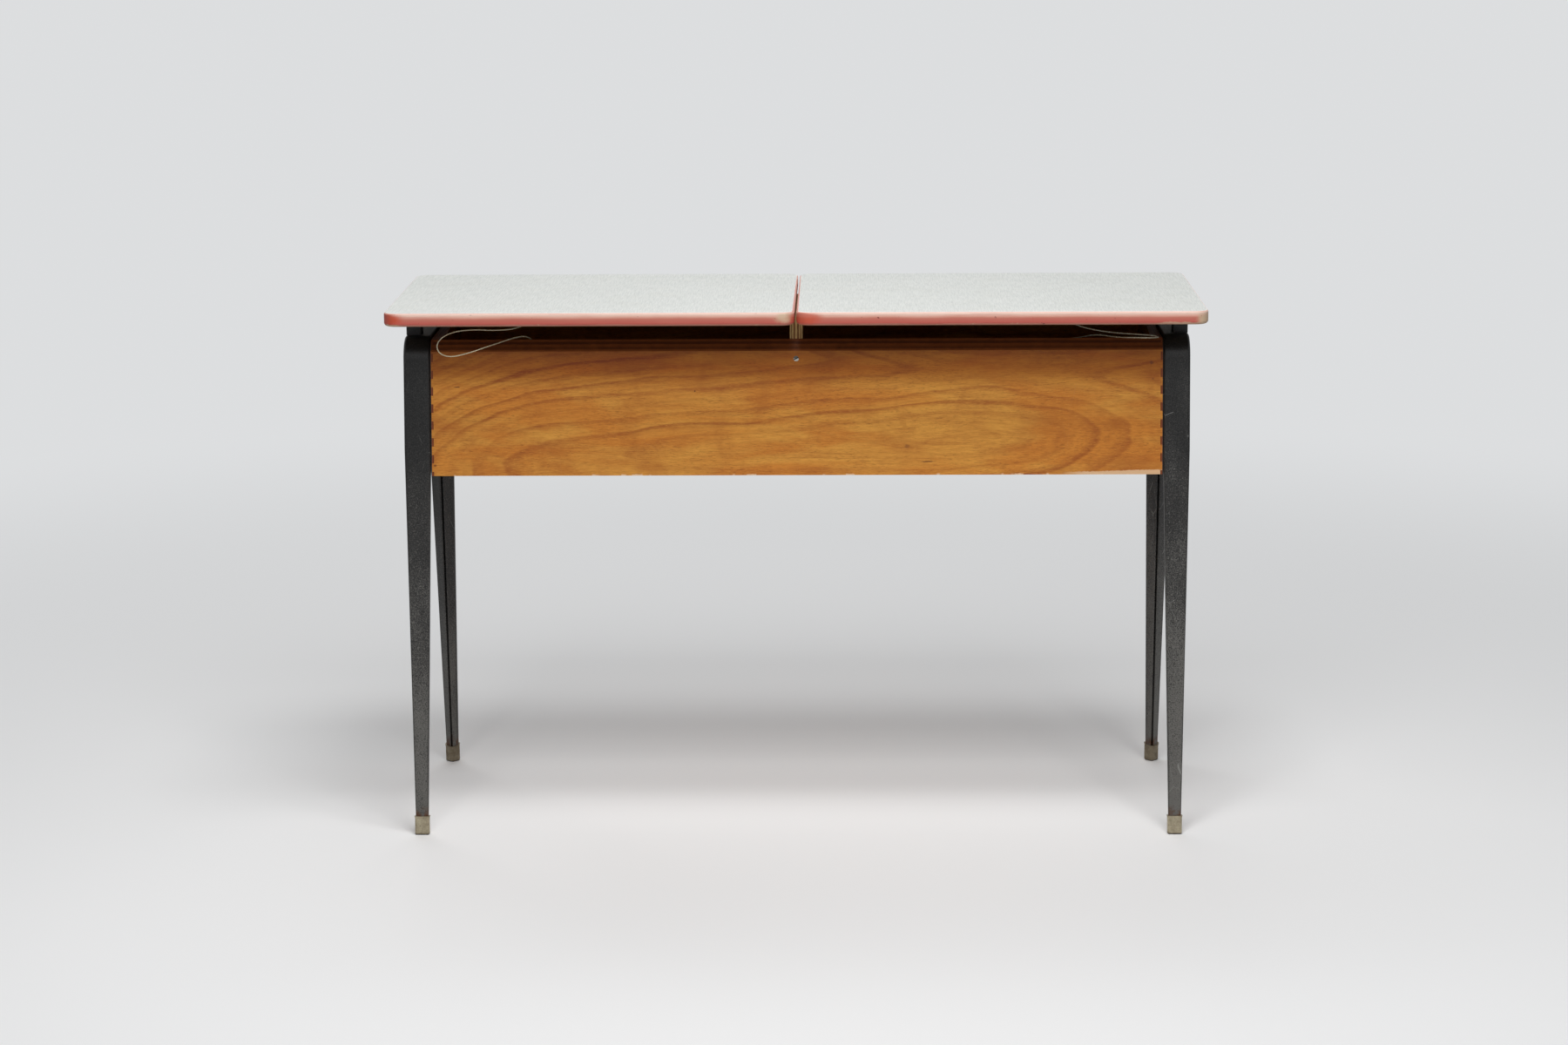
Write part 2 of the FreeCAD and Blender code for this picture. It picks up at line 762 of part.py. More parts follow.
def stay_opening(length):
    """The angle at which a cord of this length between the two clips would pull tight."""
    start = panel_clip_exit()
    end = lid_clip_exit()
    angle = 0.0
    while angle < stay_angle_limit:
        turn = math.radians(angle)
        y = (end.y - axis_y) * math.cos(turn) + (end.z - axis_z) * math.sin(turn) + axis_y
        z = -(end.y - axis_y) * math.sin(turn) + (end.z - axis_z) * math.cos(turn) + axis_z
        if Vec(end.x - start.x, y - start.y, z - start.z).Length > length:
            break
        angle += stay_angle_step
    return angle


def build():
    nodes = {}
    leg = front_leg()
    beam = rail()
    cap = ferrule()
    pad = foot_pad()
    for side, sign in (("left", -1), ("right", 1)):
        shift = Vec(sign * leg_spacing / 2, 0, 0)
        nodes["top_rail_" + side] = beam.translated(shift)
        for row, turned in (("front", False), ("rear", True)):
            for name, shape in (("leg", leg), ("ferrule", cap), ("foot_pad", pad)):
                piece = mirror_y(shape) if turned else shape
                nodes["_".join((row, side, name))] = piece.translated(shift)

    # Frame lugs and their screws
    lug = frame_lug()
    lug_screws = []
    lug_holes = []
    for point in lug_hole_points():
        place = Vec(box_half + lug_thickness, point.y, point.z)
        lug_screws.append(aim(round_screw(lug_screw_length), place, Vec(1, 0, 0)))
        lug_holes.append(aim(round_space(lug_screw_length), place, Vec(1, 0, 0)))
    all_lug_screws = []
    for side, turn_x in (("left", True), ("right", False)):
        for row, turn_y in (("front", False), ("rear", True)):
            def place(shape):
                shape = mirror_y(shape) if turn_y else shape
                return mirror_x(shape) if turn_x else shape
            nodes["_".join((row, side, "frame_lug"))] = place(lug)
            all_lug_screws += [place(shape) for shape in lug_screws]
    nodes["frame_lug_screws"] = Part.makeCompound(all_lug_screws)

    # Buffers and their screws
    buffer = buffer_box()
    point, direction = buffer_screw_place()
    stud = aim(round_screw(buffer_screw_length), point, direction)
    nodes["left_lid_buffer"] = mirror_x(buffer)
    nodes["right_lid_buffer"] = buffer
    nodes["buffer_screws"] = Part.makeCompound([mirror_x(stud), stud])

    # Box
    front = notched(front_board())
    rear = notched(rear_board())
    divider = centre_divider()
    place, direction = divider_screw_place()
    long_screw = screw(divider_head, divider_head_height, divider_shank, divider_length, divider_slot_turn)
    long_space = screw_space(divider_head, divider_head_height, divider_shank, divider_length)
    screw_front = aim(long_screw, place, direction)
    hole_front = aim(long_space, place, direction)
    front = front.cut(hole_front)
    rear = rear.cut(mirror_y(hole_front))
    divider = divider.cut([hole_front, mirror_y(hole_front)])
    nodes["divider_screws"] = Part.makeCompound([screw_front, mirror_y(screw_front)])
    ends = end_panel().cut([shape for hole in lug_holes for shape in (hole, mirror_y(hole))])
    nodes["left_end_panel"] = mirror_x(ends)
    nodes["right_end_panel"] = ends
    nodes["bottom_board"] = bottom_board()
    nodes["front_batten"] = batten()
    nodes["rear_batten"] = mirror_y(batten())
    nodes["centre_divider"] = divider

    # Hinges, clips and cords, with the holes that their screws need
    small = screw(small_head, small_head_height, small_shank, small_length)
    space = screw_space(small_head, small_head_height, small_shank, small_length)
    lid = lid_block()
    lid_holes = []
    lid_screws = []
    panel_holes = []
    rear_holes = []
    panel_screws = []
    for hinge, middle in zip(("inner", "outer"), hinge_middles()):
        lid_leaf = hinge_leaf_shape(middle, True)
        panel_leaf = to_panel(hinge_leaf_shape(middle, False))
        pin = hinge_pin_solid(middle)
        for side, turn_x in (("left", True), ("right", False)):
            for name, shape in (("lid_leaf", lid_leaf), ("panel_leaf", panel_leaf), ("pin", pin)):
                nodes["_".join((side, hinge, "hinge", name))] = mirror_x(shape) if turn_x else shape
        for point in leaf_screw_points(middle):
            lid_screws.append(aim(small, point, Vec(0, 0, -1)))
            lid_holes.append(aim(space, point, Vec(0, 0, -1)))
            panel_screws.append(to_panel(lid_screws[-1]))
            rear_holes.append(to_panel(lid_holes[-1]))

    clip_on_panel = on_panel(clip())
    clip_on_lid = on_lid(clip())
    screw_on_clip = aim(small, clip_screw_point(), Vec(0, 0, 1))
    space_on_clip = aim(space, clip_screw_point(), Vec(0, 0, 1))
    panel_screws.append(on_panel(screw_on_clip))
    panel_holes.append(on_panel(space_on_clip))
    lid_screws.append(on_lid(screw_on_clip))
    lid_holes.append(on_lid(space_on_clip))

    front = front.cut([shape for hole in panel_holes for shape in (hole, mirror_x(hole))])
    rear = rear.cut([shape for hole in rear_holes for shape in (hole, mirror_x(hole))])
    nodes["front_panel"] = front
    nodes["rear_panel"] = rear
    nodes["panel_hardware_screws"] = Part.makeCompound(
        [shape for piece in panel_screws for shape in (mirror_x(piece), piece)])

    layers = (("backing", lid_under, lid_under + backing_thickness),
              ("board", lid_under + backing_thickness, desk_height - laminate_thickness),
              ("laminate", desk_height - laminate_thickness, desk_height))
    for name, low, high in layers:
        layer = lid_layer(lid, low, high)
        if name != "laminate":
            layer = layer.cut(lid_holes)
        nodes["left_lid_" + name] = mirror_x(layer)
        nodes["right_lid_" + name] = layer
    for side, turn_x in (("left", True), ("right", False)):
        def turned(shape):
            return mirror_x(shape) if turn_x else shape
        nodes[side + "_lid_screws"] = Part.makeCompound([turned(shape) for shape in lid_screws])
        nodes[side + "_panel_clip"] = turned(clip_on_panel)
        nodes[side + "_lid_clip"] = turned(clip_on_lid)

    for name, points in (("left_stay_cord", left_route), ("right_stay_cord", right_route)):
        tube = cord_tube(name, cord_route(points), cord_diameter)
        nodes[name] = mirror_x(tube) if name.startswith("left") else tube
        length = tube.Volume / (math.pi * cord_diameter * cord_diameter / 4)
        print(name, "pulls tight at", round(stay_opening(length), 1), "degrees")
    return nodes


def main():
    os.makedirs("parts", exist_ok=True)
    nodes = build()
    for name, shape in nodes.items():
        assert shape.isValid(), name
        shape.exportStep(os.path.join("parts", name + ".step"))
    boxes = [shape.optimalBoundingBox(True, False) for shape in nodes.values()]
    print(len(nodes), "nodes; solids", sum(len(shape.Solids) for shape in nodes.values()))
    print("from", [round(min(getattr(box, side) for box in boxes), 3) for side in ("XMin", "YMin", "ZMin")])
    print("to", [round(max(getattr(box, side) for box in boxes), 3) for side in ("XMax", "YMax", "ZMax")])
    print("lid axis y", round(axis_y, 3), "z", round(axis_z, 3))


main()
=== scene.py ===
import math

import bmesh
import bpy
from mathutils import Matrix, Vector


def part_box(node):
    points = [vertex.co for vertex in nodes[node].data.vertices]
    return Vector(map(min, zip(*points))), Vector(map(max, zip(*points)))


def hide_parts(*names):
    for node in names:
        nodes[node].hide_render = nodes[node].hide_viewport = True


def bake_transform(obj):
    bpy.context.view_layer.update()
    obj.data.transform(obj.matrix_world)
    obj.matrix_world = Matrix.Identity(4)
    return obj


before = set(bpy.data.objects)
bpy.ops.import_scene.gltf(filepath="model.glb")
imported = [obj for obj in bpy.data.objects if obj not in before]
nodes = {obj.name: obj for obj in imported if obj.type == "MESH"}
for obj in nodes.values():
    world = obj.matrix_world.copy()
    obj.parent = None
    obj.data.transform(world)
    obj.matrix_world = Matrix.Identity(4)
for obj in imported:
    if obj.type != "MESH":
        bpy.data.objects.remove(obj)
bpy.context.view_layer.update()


# Camera

cameraLook = {
    "place": (0.0798, -5.5512, 1.5148),
    "pitch": 0.19284,    # radians down
    "yaw": 0.01833,      # towards -X
    "roll": -0.0058,
    "lens": 85.0,
    "sensor": 36.0,
    "farthest": 60.0,    # metres that it still sees
}


def makeCamera(look):
    pitch, yaw, roll = look["pitch"], look["yaw"], look["roll"]
    ahead = Vector((-math.sin(yaw) * math.cos(pitch), math.cos(yaw) * math.cos(pitch), -math.sin(pitch)))
    side = Vector((math.cos(yaw), math.sin(yaw), 0))
    above = side.cross(ahead)
    right = side * math.cos(roll) + above * math.sin(roll)
    up = above * math.cos(roll) - side * math.sin(roll)
    data = bpy.data.cameras.new("camera")
    data.lens = look["lens"]
    data.sensor_width = look["sensor"]
    data.sensor_fit = "HORIZONTAL"
    data.clip_end = look["farthest"]
    camera = bpy.data.objects.new("camera", data)
    turn = Matrix((right, up, -ahead)).transposed().to_4x4()
    camera.matrix_world = Matrix.Translation(Vector(look["place"])) @ turn
    bpy.context.collection.objects.link(camera)
    bpy.context.scene.camera = camera


makeCamera(cameraLook)


# Stay cords: the same route points as in the part's source, in metres, X for the right-hand side

cordLook = {
    "diameter": 0.0018,
    "sides": 10,
    "smooth": 10,        # spline steps from one route point to the next
    "stretchFrom": (0.385, 0, 0.704),    # the steep climb out of the panel's clip, from and to; beyond it the cord goes with the lid
    "stretchTo": (0.392, 0, 0.7325),     # that it stays round; beyond it the cord goes with the lid
}
routeStart = [(0.385, -0.130156, 0.701582), (0.385, -0.12890, 0.713516)]
routeEnd = [(0.390, -0.125, 0.761), (0.380, -0.125, 0.761)]
leftRoute = [
    (0.3865, -0.1255, 0.724), (0.392, -0.122, 0.7325), (0.402, -0.125, 0.7375),
    (0.416, -0.138, 0.7370), (0.434, -0.154, 0.7330), (0.4565, -0.1675, 0.7270),
    (0.482, -0.175, 0.719), (0.508, -0.174, 0.713), (0.5245, -0.171, 0.718),
    (0.529, -0.1695, 0.731), (0.5195, -0.1685, 0.743), (0.501, -0.166, 0.7505),
    (0.474, -0.1605, 0.7525), (0.445, -0.1535, 0.75), (0.419, -0.144, 0.75),
    (0.4, -0.1325, 0.7555),
]
rightRoute = [
    (0.3865, -0.1255, 0.723), (0.3935, -0.1225, 0.729), (0.407, -0.1205, 0.731),
    (0.422, -0.121, 0.7325), (0.437, -0.1265, 0.7368), (0.4515, -0.1395, 0.7386),
    (0.4645, -0.158, 0.7386), (0.4775, -0.177, 0.74), (0.493, -0.191, 0.7418),
    (0.5095, -0.1965, 0.7422), (0.524, -0.192, 0.7415), (0.5315, -0.1815, 0.741),
    (0.526, -0.1705, 0.7415), (0.511, -0.164, 0.7422), (0.489, -0.1595, 0.743),
    (0.464, -0.1535, 0.7442), (0.44, -0.147, 0.7468), (0.419, -0.1395, 0.751),
    (0.401, -0.1305, 0.7575),
]


def curvePoints(points, kind, steps):
    curve = bpy.data.curves.new("route", "CURVE")
    curve.dimensions = "3D"
    curve.resolution_u = steps
    spline = curve.splines.new(kind)
    spline.points.add(len(points) - 1)
    for knot, point in zip(spline.points, points):
        knot.co = (*point, 1)
    if kind == "NURBS":
        spline.order_u = 3
        spline.use_endpoint_u = True
    return curve


def meshOf(curve):
    holder = bpy.data.objects.new("holder", curve)
    bpy.context.collection.objects.link(holder)
    mesh = bpy.data.meshes.new_from_object(holder)
    bpy.data.objects.remove(holder)
    bpy.data.curves.remove(curve)
    return mesh


def makeCord(name, side, route):
    points = [(side * x, y, z) for x, y, z in routeStart + route + routeEnd]
    line = meshOf(curvePoints(points, "NURBS", cordLook["smooth"]))
    path = [vertex.co.copy() for vertex in line.vertices]
    tube = curvePoints(path, "POLY", 1)
    tube.bevel_depth = cordLook["diameter"] / 2
    tube.bevel_resolution = cordLook["sides"] // 2 - 2
    tube.use_fill_caps = True
    mesh = meshOf(tube)
    for face in mesh.polygons:
        face.use_smooth = True
    cord = bpy.data.objects.new(name, mesh)
    bpy.context.collection.objects.link(cord)
    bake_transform(cord)
    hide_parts(name[:-5])    # the CAD tube has the same name without _line
    return cord


leftCord = makeCord("left_stay_cord_line", -1, leftRoute)
rightCord = makeCord("right_stay_cord_line", 1, rightRoute)


# Helpers for shader nodes

def paint(red, green, blue):
    def linear(channel):
        share = channel / 255
        return share / 12.92 if share <= 0.04045 else ((share + 0.055) / 1.055) ** 2.4
    return (linear(red), linear(green), linear(blue), 1)


def plug(tree, socket, value):
    if isinstance(value, bpy.types.NodeSocket):
        tree.links.new(value, socket)
    elif value is not None:
        socket.default_value = value


def addNode(tree, kind, sockets=None, **settings):
    node = tree.nodes.new("ShaderNode" + kind)
    for key, value in settings.items():
        setattr(node, key, value)
    for key, value in (sockets or {}).items():
        plug(tree, node.inputs[key], value)
    return node


def sums(tree, operation, first, second=None, third=None):    # one Math node
    node = addNode(tree, "Math", operation=operation)
    for index, value in enumerate((first, second, third)):
        plug(tree, node.inputs[index], value)
    return node.outputs[0]


def vectorSums(tree, operation, first, second=None, output="Vector"):
    node = addNode(tree, "VectorMath", operation=operation)
    plug(tree, node.inputs[0], first)
    plug(tree, node.inputs[1], second)
    return node.outputs[output]


def between(tree, value, low, high, start=0.0, end=1.0):
    node = addNode(tree, "MapRange", {"Value": value, "From Min": low, "From Max": high,
                                      "To Min": start, "To Max": end}, interpolation_type="SMOOTHSTEP")
    return node.outputs["Result"]


def placed(tree, vector, scale=(1, 1, 1), shift=(0, 0, 0), turn=(0, 0, 0)):
    return addNode(tree, "Mapping", {"Vector": vector, "Scale": scale, "Location": shift,
                                     "Rotation": turn}).outputs[0]


def noise(tree, vector, scale, detail=2.0, rough=0.5, distort=0.0):
    return addNode(tree, "TexNoise", {"Vector": vector, "Scale": scale, "Detail": detail,
                                      "Roughness": rough, "Distortion": distort}).outputs["Fac"]


def cells(tree, vector, scale, feature):
    node = addNode(tree, "TexVoronoi", {"Vector": vector, "Scale": scale}, feature=feature)
    return node.outputs["Distance"]


def bent(tree, vector, stir, scale, detail, reach, shift=-0.5):    # vector, pushed about by noise at stir
    node = addNode(tree, "TexNoise", {"Vector": stir, "Scale": scale, "Detail": detail})
    away = placed(tree, node.outputs["Color"], scale=reach, shift=tuple(shift * part for part in reach))
    return vectorSums(tree, "ADD", vector, away)


def mix(tree, factor, first, second, blend="MIX"):
    node = addNode(tree, "Mix", data_type="RGBA", blend_type=blend)
    plug(tree, node.inputs[0], factor)
    plug(tree, node.inputs[6], first)
    plug(tree, node.inputs[7], second)
    return node.outputs[2]


def over(tree, colour, tint, mask, share):    # tint laid on colour where mask is, at most by share
    return mix(tree, sums(tree, "MULTIPLY", mask, share), colour, tint)


def steps(tree, factor, stops):
    node = addNode(tree, "ValToRGB", {"Fac": factor})
    bar = node.color_ramp.elements
    bar[0].position, bar[0].color = stops[0]
    bar[1].position, bar[1].color = stops[-1]
    for place, colour in stops[1:-1]:
        bar.new(place).color = colour
    return node.outputs[0]


def axes(tree, vector):
    node = addNode(tree, "SeparateXYZ", {"Vector": vector})
    return node.outputs[0], node.outputs[1], node.outputs[2]


def joined(tree, x, y, z):
    return addNode(tree, "CombineXYZ", {"X": x, "Y": y, "Z": z}).outputs[0]


def howFar(tree, x, y, z):
    return vectorSums(tree, "LENGTH", joined(tree, x, y, z), output="Value")


def spot(tree, vector, centre, reach):    # 1 in the middle of a soft oval, 0 outside it
    away = vectorSums(tree, "DISTANCE", placed(tree, vector, scale=tuple(1 / r for r in reach)),
                      tuple(c / r for c, r in zip(centre, reach)), "Value")
    return between(tree, away, 1.0, 0.35)


def newGroup(name, inputs, outputs):
    tree = bpy.data.node_groups.new(name, "ShaderNodeTree")
    for way, rows in (("INPUT", inputs), ("OUTPUT", outputs)):
        for label, kind, value in rows:
            socket = tree.interface.new_socket(label, in_out=way, socket_type="NodeSocket" + kind)
            if value is not None:
                socket.default_value = value
    return tree, tree.nodes.new("NodeGroupInput").outputs, tree.nodes.new("NodeGroupOutput").inputs


def useGroup(tree, name, sockets):
    node = tree.nodes.new("ShaderNodeGroup")
    node.node_tree = bpy.data.node_groups[name]
    for key, value in sockets.items():
        plug(tree, node.inputs[key], value)
    return node.outputs


def newMaterial(name, **plain):
    material = bpy.data.materials.new(name)
    material.use_nodes = True
    tree = material.node_tree
    surface = tree.nodes["Principled BSDF"]
    for key, value in plain.items():
        surface.inputs[key.replace("_", " ")].default_value = value
    spots = tree.nodes.new("ShaderNodeTexCoord").outputs
    return material, tree, surface, spots["Object"], spots["Normal"]


def finish(tree, surface, colour, rough=None, height=None, bump=0.2, reach=0.0005, metal=None):
    plug(tree, surface.inputs["Base Color"], colour)
    plug(tree, surface.inputs["Roughness"], rough)
    plug(tree, surface.inputs["Metallic"], metal)
    if height is not None:
        node = addNode(tree, "Bump", {"Height": height, "Strength": bump, "Distance": reach})
        plug(tree, surface.inputs["Normal"], node.outputs[0])


def dress(material, *names):
    for name in names:
        mesh = nodes[name].data
        if not mesh.materials:
            mesh.materials.append(material)
        for index in range(len(mesh.materials)):
            mesh.materials[index] = material


# Stage and light

stageLook = {
    "floorSize": 60.0,
    "floorColour": (0.90, 0.90, 0.90, 1),
    "floorBounce": (0.56, 0.56, 0.56, 1),     # the floor as it lights the object
    "floorRough": 0.65,
    "backdrop": (0.72, 0.73, 0.74, 1),
    "fadeFrom": 0.4,     # metres from the desk's middle, where the floor starts to run into the backdrop
    "fadeTo": 3.6,
    "fill": (0.94, 0.97, 1.0, 1),
    "fillStrength": 0.13,
}
lamps = [
    {"name": "frontLamp", "place": (0.15, -2.65, 2.95), "aim": (0, -0.15, 0.65), "size": (2.6, 1.5),
     "power": 72},
    {"name": "topLamp", "place": (0.35, -1.00, 3.50), "aim": (0, 0, 0.6), "size": (1.3, 0.8),
     "power": 40},
    {"name": "rearLamp", "place": (-0.70, 2.40, 3.10), "aim": (0, 0.15, 0.6), "size": (2.8, 1.6),
     "power": 34},
]


def makeFloor(look):
    mesh = bpy.data.meshes.new("floor")
    shape = bmesh.new()
    bmesh.ops.create_grid(shape, x_segments=1, y_segments=1, size=look["floorSize"] / 2)
    shape.to_mesh(mesh)
    shape.free()
    floor = bpy.data.objects.new("floor", mesh)
    bpy.context.collection.objects.link(floor)
    material, tree, surface, spots, _ = newMaterial("paleFloor", Roughness=look["floorRough"])
    rays = addNode(tree, "LightPath").outputs
    pale = mix(tree, rays["Is Diffuse Ray"], look["floorColour"], look["floorBounce"])
    plug(tree, surface.inputs["Base Color"], pale)
    away = vectorSums(tree, "LENGTH", spots, output="Value")
    seen = sums(tree, "MULTIPLY", rays["Is Camera Ray"],
                between(tree, away, look["fadeFrom"], look["fadeTo"]))
    glow = addNode(tree, "Emission", {"Color": look["backdrop"]})
    both = addNode(tree, "MixShader", {0: seen, 1: surface.outputs[0], 2: glow.outputs[0]})
    plug(tree, tree.nodes["Material Output"].inputs["Surface"], both.outputs[0])
    mesh.materials.append(material)


def makeWorld(look):
    world = bpy.data.worlds.new("studio")
    bpy.context.scene.world = world
    world.use_nodes = True
    tree = world.node_tree
    tree.nodes.clear()
    rays = addNode(tree, "LightPath").outputs
    mirrored = sums(tree, "MAXIMUM", rays["Is Glossy Ray"], rays["Is Transmission Ray"])
    seen = sums(tree, "MAXIMUM", rays["Is Camera Ray"], mirrored)
    room = addNode(tree, "Background", {"Color": look["fill"], "Strength": look["fillStrength"]})
    back = addNode(tree, "Background", {"Color": look["backdrop"]})
    both = addNode(tree, "MixShader", {0: seen, 1: room.outputs[0], 2: back.outputs[0]})
    plug(tree, addNode(tree, "OutputWorld").inputs["Surface"], both.outputs[0])


def makeLamp(look):
    data = bpy.data.lights.new(look["name"], "AREA")
    data.shape = "RECTANGLE"
    data.size, data.size_y = look["size"]
    data.energy = look["power"]
    lamp = bpy.data.objects.new(look["name"], data)
    place = Vector(look["place"])
    lamp.location = place
    lamp.rotation_euler = (Vector(look["aim"]) - place).to_track_quat("-Z", "Y").to_euler()
    bpy.context.collection.objects.link(lamp)


makeFloor(stageLook)
makeWorld(stageLook)
for lampLook in lamps:
    makeLamp(lampLook)
bpy.context.scene.view_settings.view_transform = "Standard"
print("camera, cords, stage and lamps made")


# Shared effects

scuffLook = {
    "patch": 14.0,                    # scale of the rubbed patches
    "patchBand": (0.56, 0.74),
    "more": 0.16,                     # what Amount adds to them
    "scratch": 38.0,                  # scale of the scratches
    "scratchWidth": 0.006,
    "wander": (0.05, 0.05, 0.05),     # metres by which they are crooked
    "lie": (0.3, 0.5, 0.9),           # radians
    "scatter": 22.0,                  # scale of the places that have scratches
    "scatterBand": (0.56, 0.66),
}


def makeScuffs(look):
    tree, given, out = newGroup("scuffs", [("Vector", "Vector", None), ("Amount", "Float", 0.5)],
                                [("Blotch", "Float", None), ("Scratch", "Float", None)])
    wide = noise(tree, given["Vector"], look["patch"], 5.0, 0.62, 0.4)
    rubbed = sums(tree, "ADD", wide, sums(tree, "MULTIPLY", given["Amount"], look["more"]))
    crooked = bent(tree, given["Vector"], given["Vector"], 5.0, 2.0, look["wander"], 0.0)
    crooked = placed(tree, crooked, scale=(1, 1, 0.25), turn=look["lie"])
    edge = cells(tree, crooked, look["scratch"], "DISTANCE_TO_EDGE")
    rare = between(tree, noise(tree, given["Vector"], look["scatter"], 2.0), *look["scatterBand"])
    scratch = sums(tree, "MULTIPLY", between(tree, edge, look["scratchWidth"], 0.0), rare)
    plug(tree, out["Blotch"], between(tree, rubbed, *look["patchBand"]))
    plug(tree, out["Scratch"], sums(tree, "MULTIPLY", scratch, given["Amount"]))


grainLook = {
    # scales along the grain, across it and into the board
    "waver": (6, 20, 20),         # how the rings wander
    "strong": (2, 8, 8),          # where the rings show more
    "broad": (3, 14, 14),
    "cloud": (10, 52, 52),
    "streak": (22, 520, 520),
    "thread": (95, 820, 820),
    "patch": (4, 17, 17),         # where the light wood turns warm
    "ray": (150, 1250, 1250),     # beech's short flecks, dark and light
    "shy": (9, 26, 26),           # where the dark flecks fade
    "dash": (70, 1100, 1100),     # pores
    "rings": 0.42,
    "fineRings": 0.10,
    # share and shift of what darkens the wood beside its rings
    "tones": {"broad": (0.9, -0.32), "cloud": (0.9, -0.45), "streak": (0.60, -0.30),
              "thread": (0.70, -0.35)},
    "lightRays": 0.45,
    "darkRays": 0.44,
    "dashes": 0.3,
}


def makeBeechGrain(look):
    # Vector runs along the grain in X, across it in Y and into the board in Z, in metres
    tree, given, out = newGroup(
        "beechGrain",
        [("Vector", "Vector", None), ("Ring", "Float", 0.0), ("Bold", "Float", 1.0),
         ("Light", "Color", (1, 1, 1, 1)), ("Warm", "Color", (1, 1, 1, 1)),
         ("Dark", "Color", (0, 0, 0, 1)), ("Fleck", "Color", (0, 0, 0, 1))],
        [("Color", "Color", None), ("Tone", "Float", None), ("Height", "Float", None)])

    def stretched(key, detail, rough=0.5, distort=0.0, shift=(0, 0, 0)):
        along = placed(tree, given["Vector"], scale=look[key], shift=shift)
        return noise(tree, along, 1.0, detail, rough, distort)

    waver = stretched("waver", 2.0)
    ring = sums(tree, "ADD", given["Ring"], sums(tree, "MULTIPLY", waver, 0.9))
    own = joined(tree, sums(tree, "MULTIPLY", sums(tree, "FLOOR", ring), 0.73), 0.5, 0.5)
    own = between(tree, noise(tree, own, 3.0, 0.0), 0.35, 0.65, 0.5, 1.25)    # each ring's own strength
    part = sums(tree, "FRACT", ring)
    late = sums(tree, "MULTIPLY", between(tree, part, 0.36, 0.82), between(tree, part, 1.0, 0.84))
    late = sums(tree, "MULTIPLY", sums(tree, "MULTIPLY", late, own), given["Bold"])
    fine = sums(tree, "FRACT", sums(tree, "MULTIPLY_ADD", ring, 2.7, waver))
    fine = sums(tree, "MULTIPLY", between(tree, fine, 0.2, 0.8), between(tree, fine, 1.0, 0.8))
    fine = sums(tree, "MULTIPLY", fine, look["fineRings"])
    tone = sums(tree, "MULTIPLY_ADD", late, look["rings"], fine)
    tone = sums(tree, "MULTIPLY", tone, between(tree, stretched("strong", 2.0), 0.3, 0.7, 0.55, 1.3))
    streak = stretched("streak", 3.0, 0.62)
    parts = {"broad": stretched("broad", 4.0, 0.6), "cloud": stretched("cloud", 4.0, 0.65, 0.4),
             "streak": streak, "thread": stretched("thread", 2.0, 0.6)}
    for key, (share, shift) in look["tones"].items():
        tone = sums(tree, "ADD", tone, sums(tree, "MULTIPLY_ADD", parts[key], share, shift))
    tone = addNode(tree, "Clamp", {"Value": tone}).outputs[0]
    patch = stretched("patch", 3.0, 0.6, 0.5, (0.6, 0.2, 0))
    base = mix(tree, between(tree, patch, 0.40, 0.62), given["Light"], given["Warm"])
    colour = mix(tree, tone, base, given["Dark"])
    ray = stretched("ray", 1.0)
    flecks = between(tree, ray, 0.56, 0.72)
    shy = between(tree, stretched("shy", 2.0), 0.35, 0.62, 0.35, 1.0)
    dash = stretched("dash", 0.0, shift=(3.1, 1.7, 0.4))
    colour = over(tree, colour, given["Light"], between(tree, ray, 0.40, 0.28), look["lightRays"])
    colour = over(tree, colour, given["Fleck"], flecks, sums(tree, "MULTIPLY", shy, look["darkRays"]))
    colour = over(tree, colour, given["Fleck"], between(tree, dash, 0.72, 0.80), look["dashes"])
    plug(tree, out["Color"], colour)
    plug(tree, out["Tone"], tone)
    plug(tree, out["Height"], sums(tree, "SUBTRACT", streak, sums(tree, "MULTIPLY", flecks, 0.6)))


plyLook = {
    "sway": (0.0006, -0.0003),    # share and shift in metres, of how the layers wander
    "ripple": 0.0009,
    "pores": (0.9, 0.3),          # share and shift
    "smear": (0.8, -0.32),
    "own": (1.4, -0.7),           # how the layers differ from one another
    "glueAt": 0.47,
    "glueHalf": 0.06,             # half a glue line's width, in shares of two layers
    "glueTone": 0.8,
}


